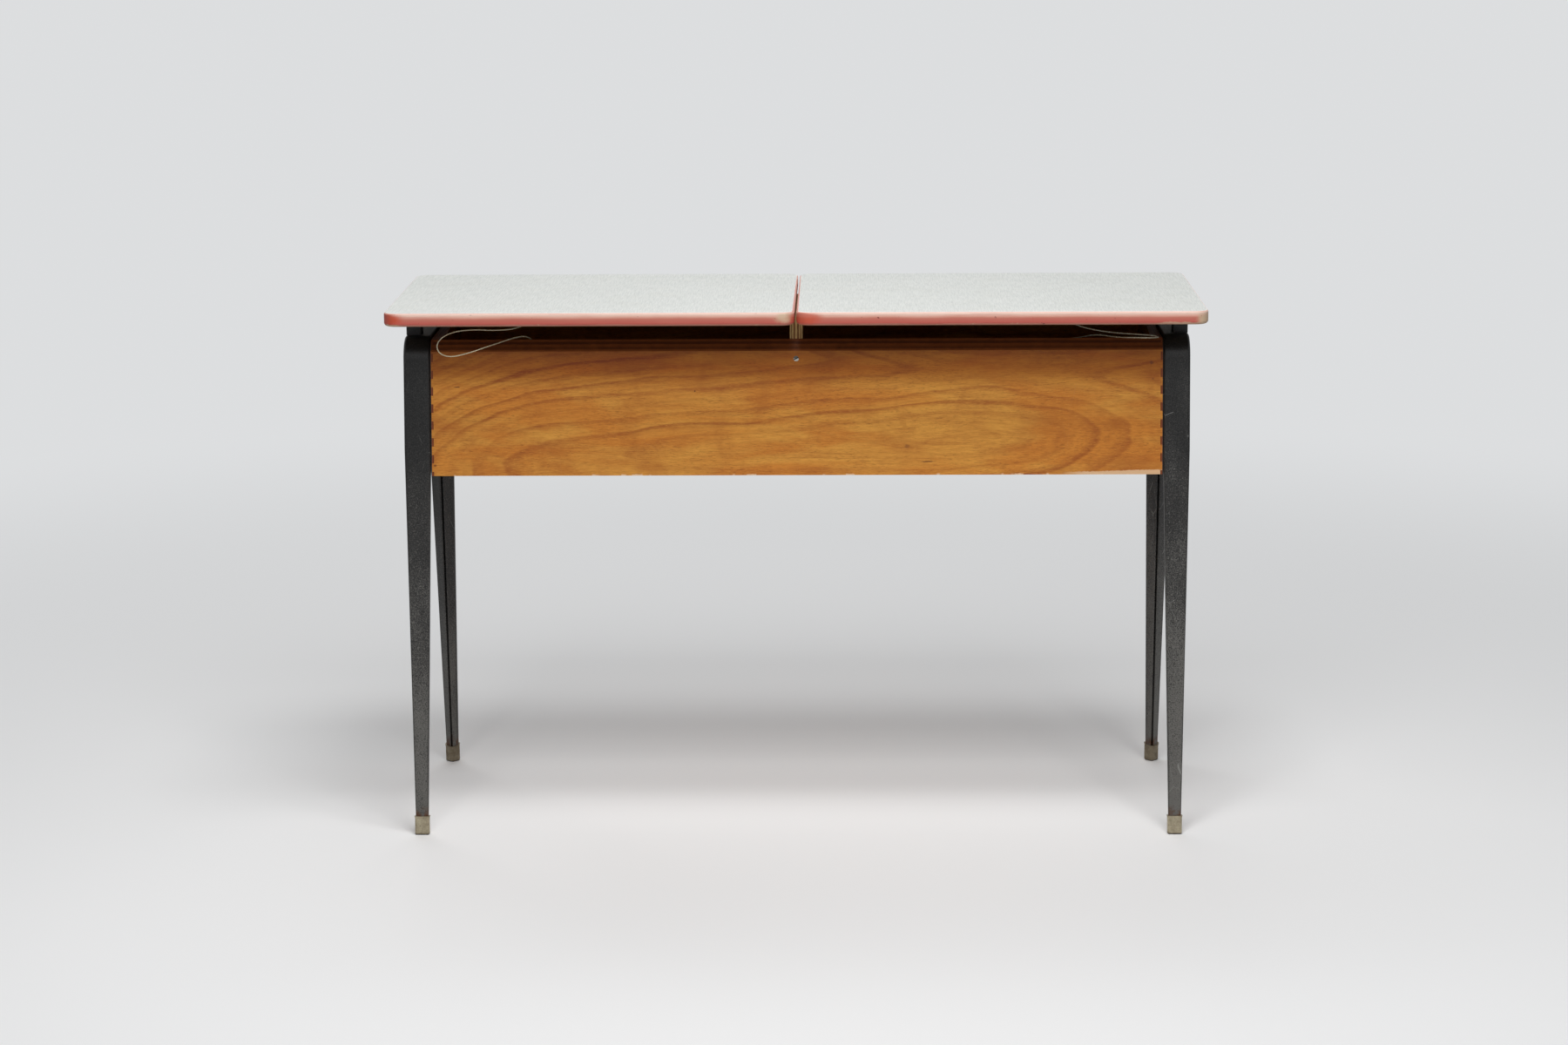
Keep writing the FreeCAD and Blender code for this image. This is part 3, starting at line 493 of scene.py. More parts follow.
def makePlyEdge(look):
    # Depth runs through the board's layers, in metres; Vector is the plain object coordinate
    tree, given, out = newGroup(
        "plyEdge",
        [("Depth", "Float", 0.0), ("Layer", "Float", 0.002), ("Vector", "Vector", None),
         ("Light", "Color", (1, 1, 1, 1)), ("Dark", "Color", (0, 0, 0, 1))],
        [("Color", "Color", None)])
    sway = sums(tree, "MULTIPLY_ADD", noise(tree, given["Vector"], 24.0, 2.0), *look["sway"])
    sway = sums(tree, "MULTIPLY_ADD", noise(tree, given["Vector"], 130.0, 3.0, 0.6), look["ripple"], sway)
    pair = sums(tree, "MULTIPLY", given["Layer"], 2.0)
    layer = sums(tree, "DIVIDE", sums(tree, "ADD", given["Depth"], sway), pair)
    part = sums(tree, "FRACT", sums(tree, "ADD", layer, 100.0))
    other = sums(tree, "MULTIPLY", between(tree, part, 0.42, 0.5), between(tree, part, 1.0, 0.92))
    own = joined(tree, sums(tree, "FLOOR", sums(tree, "MULTIPLY", layer, 2.0)), 0.3, 0.7)
    own = noise(tree, own, 0.83, 0.0)
    pores = noise(tree, given["Vector"], 1900.0, 2.0, 0.6)
    smear = noise(tree, given["Vector"], 60.0, 4.0, 0.6)
    tone = sums(tree, "ADD",
                sums(tree, "MULTIPLY", other, sums(tree, "MULTIPLY_ADD", pores, *look["pores"])),
                sums(tree, "MULTIPLY_ADD", smear, *look["smear"]))
    tone = sums(tree, "ADD", tone, sums(tree, "MULTIPLY_ADD", own, *look["own"]))
    inside = sums(tree, "ABSOLUTE", sums(tree, "SUBTRACT", part, look["glueAt"]))
    glue = sums(tree, "MAXIMUM", between(tree, part, look["glueHalf"], 0.0),
                between(tree, inside, look["glueHalf"], 0.0))
    tone = sums(tree, "MAXIMUM", tone, sums(tree, "MULTIPLY", glue, look["glueTone"]))
    tone = addNode(tree, "Clamp", {"Value": tone}).outputs[0]
    plug(tree, out["Color"], mix(tree, tone, given["Light"], given["Dark"]))


dullLook = {
    "wide": 0.22,                       # scale of the clouds, in shares of Scale
    "wideShare": 0.7,
    "fineShare": 0.3,
    "pits": (0.60, 0.72),
    "rough": (0.3, 0.7, 0.28, 0.55),    # clouds from and to, and how rough the metal is there
}


def makeDull(look):
    tree, given, out = newGroup(
        "dullMetal", [("Vector", "Vector", None), ("Scale", "Float", 300.0)],
        [("Grey", "Float", None), ("Pit", "Float", None), ("Rough", "Float", None)])
    wide = noise(tree, given["Vector"], sums(tree, "MULTIPLY", given["Scale"], look["wide"]), 4.0, 0.65)
    fine = noise(tree, given["Vector"], given["Scale"], 3.0, 0.7)
    plug(tree, out["Grey"], sums(tree, "MULTIPLY_ADD", wide, look["wideShare"],
                                 sums(tree, "MULTIPLY", fine, look["fineShare"])))
    plug(tree, out["Pit"], between(tree, fine, *look["pits"]))
    plug(tree, out["Rough"], between(tree, wide, *look["rough"]))


makeScuffs(scuffLook)
makeBeechGrain(grainLook)
makePlyEdge(plyLook)
makeDull(dullLook)
print("shared effects made")


# Lids

laminateLook = {
    "pale": paint(209, 211, 206),
    "grey": paint(192, 195, 191),
    "line": paint(168, 170, 166),
    # painted highlight along the top's rounded rim
    "rim": paint(236, 228, 220),
    "under": paint(214, 150, 134),    # the pink edge just below the rim
    # painted shade where the lids' edges drop into the gap between them
    "seam": paint(176, 96, 84),
    "worn": paint(188, 186, 178),
    "streaks": (520, 26, 200),        # scales of the pattern
    "flecks": (900, 48, 300),
    "flecksShow": 0.5,
    "wornShows": 0.12,
    "rimHighlightBand": (0.78495, 0.7848),     # heights between which the top turns into its rim's painted highlight
    "underBand": (0.7847, 0.7842),
    "chipBand": (0.0045, 0.0039),     # distances from the gap between the lids
    "seamBand": (0.0036, 0.0022),
    "widen": 0.0036,                  # how the bands by the gap grow wider towards the front
}


def makeLaminate(look):
    material, tree, surface, spots, _ = newMaterial("lidLaminate", IOR=1.45)
    streak = noise(tree, placed(tree, spots, look["streaks"], turn=(0, 0, 0.04)), 1.0, 3.0, 0.6, 0.4)
    fleck = noise(tree, placed(tree, spots, look["flecks"], turn=(0, 0, -0.03)), 1.0, 1.0, 0.5, 0.8)
    cloud = sums(tree, "MULTIPLY", noise(tree, spots, 5.0, 4.0, 0.6), 0.12)
    tone = between(tree, sums(tree, "MULTIPLY_ADD", streak, 0.9, cloud), 0.36, 0.66)
    colour = mix(tree, tone, look["pale"], look["grey"])
    colour = over(tree, colour, look["line"], between(tree, fleck, 0.60, 0.70), look["flecksShow"])
    marks = useGroup(tree, "scuffs", {"Vector": spots, "Amount": 0.6})
    colour = over(tree, colour, look["worn"], marks["Blotch"], look["wornShows"])
    x, y, z = axes(tree, spots)
    # painted highlight on the rounded rim
    colour = mix(tree, between(tree, z, *look["rimHighlightBand"]), colour, look["rim"])
    colour = mix(tree, between(tree, z, *look["underBand"]), colour, look["under"])
    inner = sums(tree, "MULTIPLY_ADD", y, look["widen"], sums(tree, "ABSOLUTE", x))
    chipped = sums(tree, "MULTIPLY_ADD", noise(tree, spots, 90.0, 3.0), 0.0008, inner)
    colour = mix(tree, between(tree, chipped, *look["chipBand"]), colour, look["under"])
    # painted shade in the gap between the lids
    colour = mix(tree, between(tree, inner, *look["seamBand"], 0.0, 0.8), colour, look["seam"])
    rough = sums(tree, "MULTIPLY_ADD", marks["Blotch"], 0.08, 0.36)
    rough = sums(tree, "MULTIPLY_ADD", tone, 0.10, rough)
    finish(tree, surface, colour, rough, sums(tree, "SUBTRACT", streak, marks["Scratch"]), 0.16, 0.0003)
    return material


edgeLook = {
    "cream": paint(240, 206, 190),
    "blush": paint(226, 170, 152),
    "salmon": paint(198, 120, 102),
    "rose": paint(192, 104, 90),
    "deep": paint(192, 90, 78),
    "red": paint(196, 76, 46),
    "dark": paint(116, 50, 48),
    "bare": paint(210, 188, 156),
    "line": paint(196, 134, 116),
    # the colours from the bottom of the edge to its top: the edge's own salmon pink, with painted shade
    # towards the bottom and a painted highlight in cream at the top
    "climb": ((0.0, "line"), (0.09, "deep"), (0.38, "rose"), (0.60, "salmon"), (0.80, "blush"),
              (0.97, "cream")),
    "span": (0.7655, 0.7842),         # heights of its bottom and top
    "wornBand": (0.7700, 0.7662),     # heights between which bare wood shows along the bottom
    "lines": (8, 8, 330),             # scales of the long lines, the clouds and the specks
    "clouds": (9, 9, 40),
    "specks": (150, 150, 320),
    "ragged": (0.010, 0.010, 0.008),  # metres by which the marks' outlines wander
}
edgeMarks = [
    # centre and reach in metres, colour, strength
    ((-0.592, -0.218, 0.777), (0.030, 0.030, 0.012), "red", 0.9),
    ((-0.600, -0.200, 0.772), (0.016, 0.060, 0.020), "deep", 0.8),
    ((-0.588, -0.222, 0.7665), (0.020, 0.020, 0.0035), "bare", 0.8),
    ((-0.016, -0.222, 0.777), (0.018, 0.020, 0.012), "bare", 0.7),
    ((0.014, -0.220, 0.777), (0.032, 0.030, 0.014), "red", 0.75),
    ((0.594, -0.218, 0.772), (0.016, 0.024, 0.013), "bare", 0.85),
    ((0.560, -0.226, 0.767), (0.050, 0.020, 0.003), "bare", 0.6),
    ((0.121, -0.225, 0.777), (0.0016, 0.006, 0.0014), "dark", 0.9),
    ((0.360, -0.225, 0.7665), (0.0022, 0.006, 0.0016), "dark", 0.9),
    ((0.345, -0.225, 0.773), (0.0012, 0.006, 0.0050), "deep", 0.8),
    ((-0.432, -0.225, 0.7735), (0.0018, 0.006, 0.0016), "deep", 0.9),
]


def makeLidEdge(look):
    material, tree, surface, spots, _ = newMaterial("lidEdge", IOR=1.45)
    z = axes(tree, spots)[2]
    drift = sums(tree, "MULTIPLY", sums(tree, "SUBTRACT", noise(tree, spots, 16.0, 3.0), 0.5), 0.0028)
    level = between(tree, sums(tree, "ADD", z, drift), *look["span"])
    # painted shade and painted highlight up the rounded edge
    colour = steps(tree, level, [(place, look[tint]) for place, tint in look["climb"]])
    long = noise(tree, placed(tree, spots, look["lines"]), 1.0, 3.0, 0.6)
    colour = over(tree, colour, look["deep"], between(tree, long, 0.52, 0.72), 0.25)
    wide = noise(tree, placed(tree, spots, look["clouds"]), 1.0, 4.0, 0.6)
    colour = over(tree, colour, look["salmon"], between(tree, wide, 0.5, 0.75), 0.3)
    ragged = bent(tree, spots, spots, 110.0, 4.0, look["ragged"])
    for centre, reach, tint, share in edgeMarks:
        colour = over(tree, colour, look[tint], spot(tree, ragged, centre, reach), share)
    worn = sums(tree, "MULTIPLY", between(tree, noise(tree, spots, 70.0, 5.0, 0.7), 0.60, 0.68),
                between(tree, z, *look["wornBand"]))
    colour = mix(tree, worn, colour, look["bare"])
    specks = noise(tree, placed(tree, spots, look["specks"]), 1.0, 3.0, 0.6)
    colour = over(tree, colour, look["dark"], between(tree, specks, 0.68, 0.76), 0.7)
    finish(tree, surface, colour, between(tree, wide, 0.3, 0.7, 0.42, 0.6), long, 0.2, 0.0003)
    return material


backingLook = {"light": paint(150, 128, 104), "dark": paint(120, 98, 78), "weave": (260, 60, 260)}


def makeBacking(look):
    material, tree, surface, spots, _ = newMaterial("lidBacking", IOR=1.45)
    weave = noise(tree, placed(tree, spots, look["weave"]), 1.0, 3.0, 0.6)
    marks = useGroup(tree, "scuffs", {"Vector": spots, "Amount": 0.8})
    tone = sums(tree, "MULTIPLY_ADD", weave, 0.7, sums(tree, "MULTIPLY", marks["Blotch"], 0.4))
    colour = mix(tree, tone, look["light"], look["dark"])
    finish(tree, surface, colour, 0.6, weave, 0.15, 0.0003)
    return material


dress(makeLaminate(laminateLook), "left_lid_laminate", "right_lid_laminate")
dress(makeLidEdge(edgeLook), "left_lid_board", "right_lid_board")
dress(makeBacking(backingLook), "left_lid_backing", "right_lid_backing")
print("lids dressed")


# Beech plywood box

slope = math.radians(6)    # the lean of the front and rear panels
frontFace = (0, -math.cos(slope), math.sin(slope))
rearFace = (0, math.cos(slope), math.sin(slope))
panelOuter = 0.21878       # from the desk's middle to the outer face of either panel, square to it
beechLook = {
    "light": paint(220, 156, 68),
    "warm": paint(208, 132, 52),
    "dark": paint(156, 82, 30),
    "fleck": paint(112, 58, 24),
    "edgeLight": paint(190, 130, 78),
    "edgeDark": paint(100, 48, 22),
    "rough": (0.30, 0.46),
    "pitch": 0.030,    # between rings, on every board but the front panel
    "bow": 3.5,        # rings by which they wander
    "blotchShows": 0.25,
    "scratchShows": 0.6,
    "edgeRough": 0.7,
}
figureLook = {
    # rings about a centre low on the right, and about one above it that shows only its lower arcs
    "centre": (0.282, 0.588),
    "rightShare": 1 / 2.9,
    "leftShare": 1 / 15,
    "leftDrop": 0.06,
    "leftEnd": -0.35,    # beyond it the long arcs curl in
    "leftCurl": 1 / 0.7,
    "upper": (0.327, 0.790),
    "upperShare": 1 / 2.72,
    "upperShift": -0.012,
    "merge": 0.02,
    "pitch": 0.0165,
    "sway": (0.05, 0, 0.026),
    "swayScale": (5, 5, 16),
    "heart": (0.6, 2.2, 0.15, 1.0),    # rings from the centre, from and to, and how bold they are there
}
# outer is the distance from the middle to the board's outer face, and layer the thickness of one veneer
boards = {
    # the front panel's ply-edge colours are darker than the others': painted shade of the lids on its
    # bevelled top
    "frontPlywood": {"nodes": ["front_panel"], "face": frontFace, "along": (1, 0, 0), "outer": panelOuter,
                     "layer": 0.0024, "figure": figureLook,
                     "edgeLight": paint(150, 82, 34), "edgeDark": paint(88, 40, 14)},
    "rearPlywood": {"nodes": ["rear_panel"], "face": rearFace, "along": (1, 0, 0), "outer": panelOuter,
                    "layer": 0.0024},
    "endPlywood": {"nodes": ["left_end_panel", "right_end_panel"], "face": (1, 0, 0), "along": (0, 1, 0),
                   "outer": 0.540, "layer": 0.00214,
                   "edgeLight": paint(132, 70, 38), "edgeDark": paint(92, 40, 20)},
    # the divider's own pale ply edge, made paler still by painted light falling through the gap between
    # the lids
    "dividerPlywood": {"nodes": ["centre_divider"], "face": (1, 0, 0), "along": (0, 1, 0),
                       "outer": 0.00925, "layer": 0.00206,
                       "edgeLight": paint(244, 206, 140), "edgeDark": paint(104, 58, 22)},
    "bottomPlywood": {"nodes": ["bottom_board"], "face": (0, 0, 1), "along": (1, 0, 0), "outer": 0.560,
                      "layer": 0.0016},
    "battenBeech": {"nodes": ["front_batten", "rear_batten"], "face": (0, 0, 1), "along": (1, 0, 0)},
}
frontWear = {
    "paintedLidShade": paint(206, 177, 143),      # painted shade of the lids over the panel's upper part
    "paintedLidShadeBand": (0.652, 0.694),        # heights between which the painted shade sets in
    "bare": paint(226, 184, 142),
    "chipStart": (0.385, 0.430),        # X over which the long chip at the lower right sets in
    "chipClimb": (0.39, 0.54),          # X over which it rises
    "chipRise": 0.003,
    "chipTop": (0.5385, 0.5372),
    "nickTop": (0.5366, 0.5352),        # the small nicks along the bottom edge
    "nickShare": (0.60, 0.66),
    "ragged": (0.004, 0, 0.003),        # metres by which the spots' outlines wander
}
frontSpots = [
    # centre and reach in X and Z, colour, strength
    ((-0.150, 0.6584), (0.0016, 0.0018), paint(60, 30, 16), 0.95),
    ((-0.5017, 0.6648), (0.0060, 0.0014), paint(96, 52, 28), 0.8),
    ((-0.5352, 0.5496), (0.0030, 0.0022), paint(110, 56, 26), 0.8),
    ((0.5236, 0.6980), (0.0040, 0.0040), paint(100, 52, 26), 0.7),
    ((0.5258, 0.6744), (0.0024, 0.0020), paint(110, 60, 30), 0.6),
    ((0.1936, 0.5535), (0.0130, 0.0016), paint(104, 58, 30), 0.75),
    ((0.1634, 0.5765), (0.0050, 0.0040), paint(120, 70, 40), 0.5),
    ((0.4700, 0.6085), (0.0240, 0.0120), paint(150, 78, 28), 0.4),
    ((0.5100, 0.5480), (0.0600, 0.0200), paint(164, 84, 30), 0.35),
    ((-0.5300, 0.6000), (0.0500, 0.0300), paint(164, 84, 30), 0.25),
]


def frontRings(tree, spots, look):
    stir = placed(tree, spots, scale=look["swayScale"])
    x, _, z = axes(tree, bent(tree, spots, stir, 1.0, 2.0, look["sway"]))
    right = sums(tree, "MAXIMUM", sums(tree, "SUBTRACT", x, look["centre"][0]), 0.0)
    left = sums(tree, "MAXIMUM", sums(tree, "SUBTRACT", look["centre"][0], x), 0.0)
    rise = sums(tree, "ADD", sums(tree, "SUBTRACT", z, look["centre"][1]),
                sums(tree, "MULTIPLY", left, look["leftDrop"]))
    lower = howFar(tree, sums(tree, "MULTIPLY", right, look["rightShare"]),
                   sums(tree, "MULTIPLY", left, look["leftShare"]), rise)
    curl = sums(tree, "MAXIMUM", sums(tree, "SUBTRACT", look["leftEnd"], x), 0.0)
    curl = sums(tree, "MULTIPLY", sums(tree, "MULTIPLY", curl, curl), look["leftCurl"])
    lower = sums(tree, "ADD", lower, curl)
    aside = sums(tree, "MULTIPLY", sums(tree, "SUBTRACT", x, look["upper"][0]), look["upperShare"])
    upper = howFar(tree, aside, 0.0, sums(tree, "SUBTRACT", z, look["upper"][1]))
    field = sums(tree, "SMOOTH_MIN", lower, sums(tree, "ADD", upper, look["upperShift"]), look["merge"])
    return sums(tree, "DIVIDE", field, look["pitch"])


def frontMarks(tree, spots, colour, look):
    # painted shade of the lids, multiplied over the grain so that the grain still shows
    paintedLidShade = between(tree, axes(tree, spots)[2], *look["paintedLidShadeBand"])
    colour = mix(tree, paintedLidShade, colour, look["paintedLidShade"], "MULTIPLY")
    x, _, z = axes(tree, bent(tree, spots, spots, 240.0, 3.0, look["ragged"]))
    flat = joined(tree, x, 0.0, z)
    for (cx, cz), (rx, rz), tint, share in frontSpots:
        colour = over(tree, colour, tint, spot(tree, flat, (cx, 0, cz), (rx, 1, rz)), share)
    rise = sums(tree, "MULTIPLY", between(tree, x, *look["chipClimb"]), look["chipRise"])
    chip = sums(tree, "MULTIPLY", between(tree, x, *look["chipStart"]),
                between(tree, sums(tree, "SUBTRACT", z, rise), *look["chipTop"]))
    nicks = noise(tree, placed(tree, spots, scale=(40, 1, 1)), 1.0, 2.0)
    nicks = sums(tree, "MULTIPLY", between(tree, z, *look["nickTop"]),
                 between(tree, nicks, *look["nickShare"]))
    return mix(tree, sums(tree, "MAXIMUM", chip, nicks), colour, look["bare"])


def boardVector(tree, spots, face, along):
    across = Vector(face).cross(Vector(along))
    return joined(tree, *[vectorSums(tree, "DOT_PRODUCT", spots, tuple(way), "Value")
                          for way in (along, across, face)])


def makeBoard(name, board, look):
    material, tree, surface, spots, normal = newMaterial(name, IOR=1.5, Specular_IOR_Level=0.26,
                                                         Coat_Weight=0.05, Coat_Roughness=0.3)
    vector = boardVector(tree, spots, board["face"], board["along"])
    if "figure" in board:
        ring = frontRings(tree, spots, board["figure"])
        bold = between(tree, ring, *board["figure"]["heart"])
    else:
        bow = noise(tree, placed(tree, vector, scale=(2.2, 5, 5)), 1.0, 2.0)
        ring = sums(tree, "ADD", sums(tree, "DIVIDE", axes(tree, vector)[1], look["pitch"]),
                    sums(tree, "MULTIPLY", bow, look["bow"]))
        bold = 1.0
    wood = useGroup(tree, "beechGrain", {"Vector": vector, "Ring": ring, "Bold": bold,
                                         "Light": look["light"], "Warm": look["warm"],
                                         "Dark": look["dark"], "Fleck": look["fleck"]})
    marks = useGroup(tree, "scuffs", {"Vector": spots, "Amount": 0.5})
    colour = over(tree, wood["Color"], look["dark"], marks["Blotch"], look["blotchShows"])
    colour = over(tree, colour, look["edgeLight"], marks["Scratch"], look["scratchShows"])
    rough = between(tree, wood["Tone"], 0.0, 1.0, *look["rough"])
    if "figure" in board:
        colour = frontMarks(tree, spots, colour, frontWear)
    if "layer" in board:
        depth = sums(tree, "ABSOLUTE", vectorSums(tree, "DOT_PRODUCT", spots, board["face"], "Value"))
        depth = sums(tree, "SUBTRACT", board["outer"], depth)
        edge = useGroup(tree, "plyEdge", {"Depth": depth, "Layer": board["layer"], "Vector": spots,
                                          "Light": board.get("edgeLight", look["edgeLight"]),
                                          "Dark": board.get("edgeDark", look["edgeDark"])})
        facing = sums(tree, "ABSOLUTE", vectorSums(tree, "DOT_PRODUCT", normal, board["face"], "Value"))
        flat = between(tree, facing, 0.88, 0.95)
        colour = mix(tree, flat, edge["Color"], colour)
        rough = between(tree, flat, 0.0, 1.0, look["edgeRough"], rough)
    finish(tree, surface, colour, rough, wood["Height"], 0.12, 0.0002)
    return material


for boardName, board in boards.items():
    dress(makeBoard(boardName, board, beechLook), *board["nodes"])
print("box dressed")


# End frames and feet

steelLook = {
    "dark": paint(16, 16, 16),
    "mid": paint(46, 45, 44),
    "pale": paint(104, 102, 98),
    "rust": paint(84, 54, 34),
    "scuff": paint(160, 160, 156),
    "dimples": 760.0,                            # scales of the paint's texture
    "mottle": 720.0,
    "runs": (30, 30, 9),
    "dustAndShade": (0.76, 0.0, -0.15, 0.20),            # heights from and to, and how pale it is there: painted shade of the lids at the top and painted light from the floor towards the bottom
    "sides": (-0.5, 0.5, 0.008, 0.060),          # the same along X: the right-hand legs paler, painted light from the right
    "legHalf": (0.0, 0.571, 0.0089, 0.0195),     # heights, and half a leg's width there
    "legMiddle": 0.561,
    "rim": (0.0016, 0.0002),                     # distances from a leg's edge, over which painted shade darkens its rounded edges
    "edgeShadeShows": 0.5,
    "rustBand": (0.046, 0.030),                  # heights
    "scuffShows": 0.7,
}


def makeFrameSteel(look):
    material, tree, surface, spots, _ = newMaterial("frameSteel", IOR=1.5, Specular_IOR_Level=0.32)
    x, _, z = axes(tree, spots)
    dimple = cells(tree, spots, look["dimples"], "SMOOTH_F1")
    mottle = noise(tree, spots, look["mottle"], 3.0, 0.6)
    wide = noise(tree, placed(tree, spots, look["runs"]), 1.0, 3.0)
    tone = sums(tree, "ADD", sums(tree, "MULTIPLY", mottle, 0.9),
                sums(tree, "MULTIPLY_ADD", wide, 0.3, -0.15))
    # painted shade at the top and painted light towards the floor
    tone = sums(tree, "ADD", tone, between(tree, z, *look["dustAndShade"]))
    # painted light: paler towards the right
    tone = sums(tree, "ADD", tone, between(tree, x, *look["sides"]))
    colour = steps(tree, tone, [(0.30, look["dark"]), (0.50, look["mid"]), (0.68, look["pale"])])
    # painted shade along the legs' rounded side edges
    off = sums(tree, "ABSOLUTE", sums(tree, "SUBTRACT", sums(tree, "ABSOLUTE", x), look["legMiddle"]))
    rim = between(tree, sums(tree, "SUBTRACT", between(tree, z, *look["legHalf"]), off), *look["rim"])
    colour = over(tree, colour, look["dark"], rim, look["edgeShadeShows"])
    rust = sums(tree, "MULTIPLY", between(tree, z, *look["rustBand"]),
                between(tree, noise(tree, spots, 90.0, 4.0, 0.6), 0.36, 0.6))
    colour = mix(tree, rust, colour, look["rust"])
    marks = useGroup(tree, "scuffs", {"Vector": spots, "Amount": 0.9})
    colour = over(tree, colour, look["scuff"], marks["Scratch"], look["scuffShows"])
    height = sums(tree, "SUBTRACT", mottle, sums(tree, "MULTIPLY", dimple, 0.4))
    finish(tree, surface, colour, between(tree, mottle, 0.3, 0.7, 0.34, 0.52), height, 0.35, 0.0004)
    return material


ferruleLook = {
    "bright": paint(176, 166, 142),
    "warm": paint(138, 128, 108),
    "stain": paint(80, 64, 48),
    "scale": 420.0,
    "topRing": (0.0270, 0.0285),            # heights of the stained rings
    "bottomRing": (0.0042, 0.0020),
    "rearStain": (-0.05, 0.05, 0.0, 0.55),  # Y from and to, and the stain there
    "metal": (0.2, 0.9, 1.0, 0.35),         # stain from and to, and how metallic it is there
}


def makeFerruleNickel(look):
    material, tree, surface, spots, _ = newMaterial("ferruleNickel")
    dull = useGroup(tree, "dullMetal", {"Vector": spots, "Scale": look["scale"]})
    _, y, z = axes(tree, spots)
    colour = mix(tree, between(tree, dull["Grey"], 0.3, 0.7), look["bright"], look["warm"])
    ring = sums(tree, "MAXIMUM", between(tree, z, *look["topRing"]),
                between(tree, z, *look["bottomRing"]))
    mask = sums(tree, "MAXIMUM", sums(tree, "MULTIPLY", ring, dull["Grey"]),
                sums(tree, "MULTIPLY", dull["Pit"], 0.7))
    mask = sums(tree, "MAXIMUM", mask, between(tree, y, *look["rearStain"]))
    colour = mix(tree, mask, colour, look["stain"])
    rough = sums(tree, "MULTIPLY_ADD", mask, 0.3, dull["Rough"])
    metal = between(tree, mask, *look["metal"])
    finish(tree, surface, colour, rough, dull["Grey"], 0.1, 0.0002, metal)
    return material


metalLooks = {
    "dividerScrewSteel": {"bright": paint(176, 172, 164), "stain": paint(96, 90, 82), "scale": 900.0,
                          "upperHalfShade": paint(92, 88, 82),       # painted shade on the head's upper half
                          "dirt": paint(18, 15, 12),      # painted shade in its slot
                          "slot": (0.00015, 0.0004),      # depths between which the slot's painted shade sets in
                          "below": 0.0275,                # from the panel's top to the screw's middle
                          "half": (-0.0004, 0.0010)},     # heights from the screw's middle
    "hingeSteel": {"bright": paint(150, 146, 136), "stain": paint(92, 80, 66), "scale": 300.0},
    "screwSteel": {"bright": paint(190, 188, 182), "stain": paint(96, 88, 78), "scale": 700.0},
    "clipSteel": {"bright": paint(178, 178, 174), "stain": paint(120, 116, 108), "scale": 400.0},
}


def makeSmallMetal(name, look):
    material, tree, surface, spots, _ = newMaterial(name)
    dull = useGroup(tree, "dullMetal", {"Vector": spots, "Scale": look["scale"]})
    mask = sums(tree, "MAXIMUM", between(tree, dull["Grey"], 0.45, 0.8),
                sums(tree, "MULTIPLY", dull["Pit"], 0.8))
    colour = mix(tree, mask, look["bright"], look["stain"])
    if "slot" in look:
        level = vectorSums(tree, "DOT_PRODUCT", vectorSums(tree, "ABSOLUTE", spots), rearFace, "Value")
        # painted shade in the slot
        dirt = between(tree, sums(tree, "SUBTRACT", panelOuter, level), *look["slot"])
        mask = sums(tree, "MAXIMUM", mask, dirt)
        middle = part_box("front_panel")[1][2] - look["below"]
        # painted shade on the head's upper half
        upper = between(tree, axes(tree, spots)[2], middle + look["half"][0], middle + look["half"][1])
        colour = mix(tree, upper, colour, look["upperHalfShade"])
        colour = mix(tree, dirt, colour, look["dirt"])
    metal = between(tree, mask, 0.2, 1.0, 1.0, 0.5)
    finish(tree, surface, colour, dull["Rough"], dull["Grey"], 0.1, 0.0002, metal)
    return material


mouldedLooks = {
    "bufferRubber": {"dark": paint(22, 22, 23), "pale": paint(44, 43, 42), "rough": 0.62, "scale": 500.0},
    "footPlastic": {"dark": paint(20, 19, 18), "pale": paint(52, 48, 42), "rough": 0.55, "scale": 300.0},
}


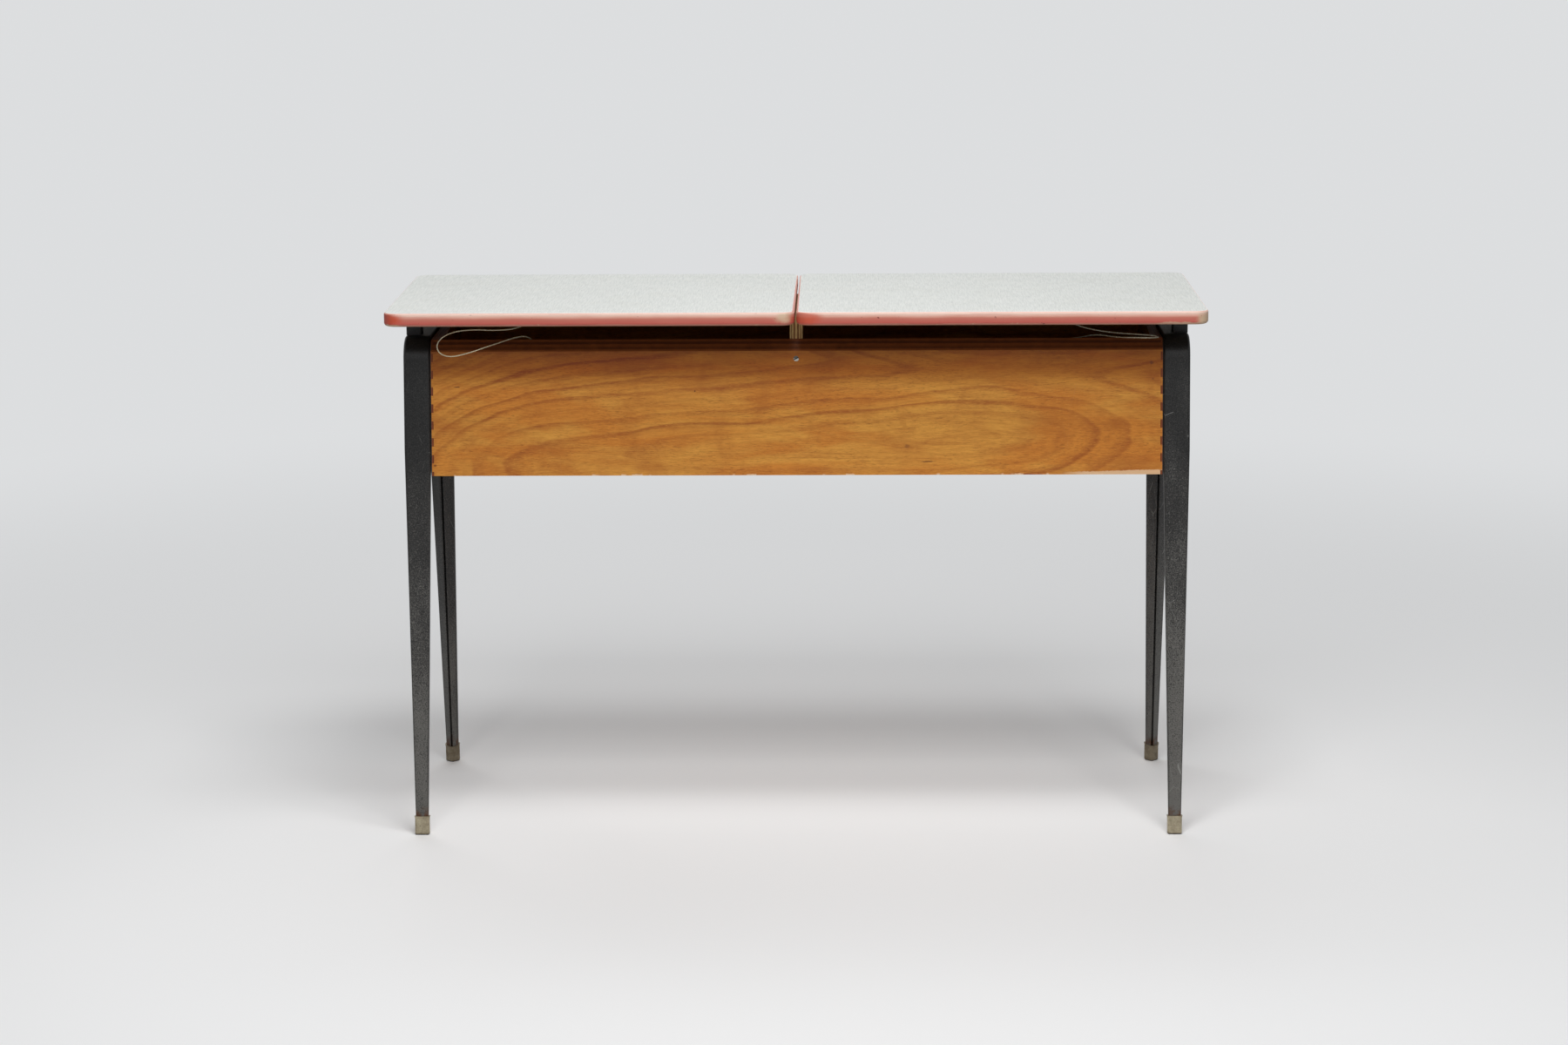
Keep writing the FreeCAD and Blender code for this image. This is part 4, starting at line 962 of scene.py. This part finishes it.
def makeMoulded(name, look):
    material, tree, surface, spots, _ = newMaterial(name)
    fine = noise(tree, spots, look["scale"], 4.0, 0.6)
    dustAndShade = noise(tree, spots, 60.0, 4.0, 0.6)
    colour = mix(tree, between(tree, sums(tree, "ADD", fine, dustAndShade), 0.9, 1.3), look["dark"], look["pale"])
    rough = between(tree, dustAndShade, 0.3, 0.7, look["rough"] - 0.1, look["rough"] + 0.1)
    finish(tree, surface, colour, rough, fine, 0.2, 0.0003)
    return material


nylonLook = {
    "clear": paint(248, 240, 212),
    "cloudy": paint(226, 214, 176),
    # painted shade of the lid on the right-hand cord
    "dull": paint(104, 98, 84),
    "rightCordShade": (-0.1, 0.1, 0.0, 0.55),    # X from and to, and how much painted shade there is there
    "scale": 240.0,
    "rough": (0.14, 0.3),
}


def makeNylon(look):
    material, tree, surface, spots, _ = newMaterial("cordNylon", IOR=1.53, Transmission_Weight=0.4)
    cloud = noise(tree, spots, look["scale"], 3.0)
    colour = mix(tree, cloud, look["clear"], look["cloudy"])
    # painted shade on the right-hand cord
    colour = mix(tree, between(tree, axes(tree, spots)[0], *look["rightCordShade"]), colour, look["dull"])
    finish(tree, surface, colour, between(tree, cloud, 0.3, 0.7, *look["rough"]))
    return material


legNames = [row + side + "_leg" for row in ("front_", "rear_") for side in ("left", "right")]
frameSteel = makeFrameSteel(steelLook)
dress(frameSteel, *legNames, *[name.replace("_leg", "_frame_lug") for name in legNames])
dress(frameSteel, "top_rail_left", "top_rail_right")
dress(makeFerruleNickel(ferruleLook), *[name.replace("_leg", "_ferrule") for name in legNames])
smallMetal = {name: makeSmallMetal(name, look) for name, look in metalLooks.items()}
moulded = {name: makeMoulded(name, look) for name, look in mouldedLooks.items()}
dress(moulded["footPlastic"], *[name.replace("_leg", "_foot_pad") for name in legNames])
dress(moulded["bufferRubber"], "left_lid_buffer", "right_lid_buffer")
dress(smallMetal["hingeSteel"], *[name for name in nodes if "_hinge_" in name])
dress(smallMetal["clipSteel"], *[name for name in nodes if name.endswith("_clip")])
dress(smallMetal["screwSteel"], *[name for name in nodes if name.endswith("_screws")])
dress(smallMetal["dividerScrewSteel"], "divider_screws")
nylon = makeNylon(nylonLook)
leftCord.data.materials.append(nylon)
rightCord.data.materials.append(nylon)
print("frames, feet and fittings dressed")
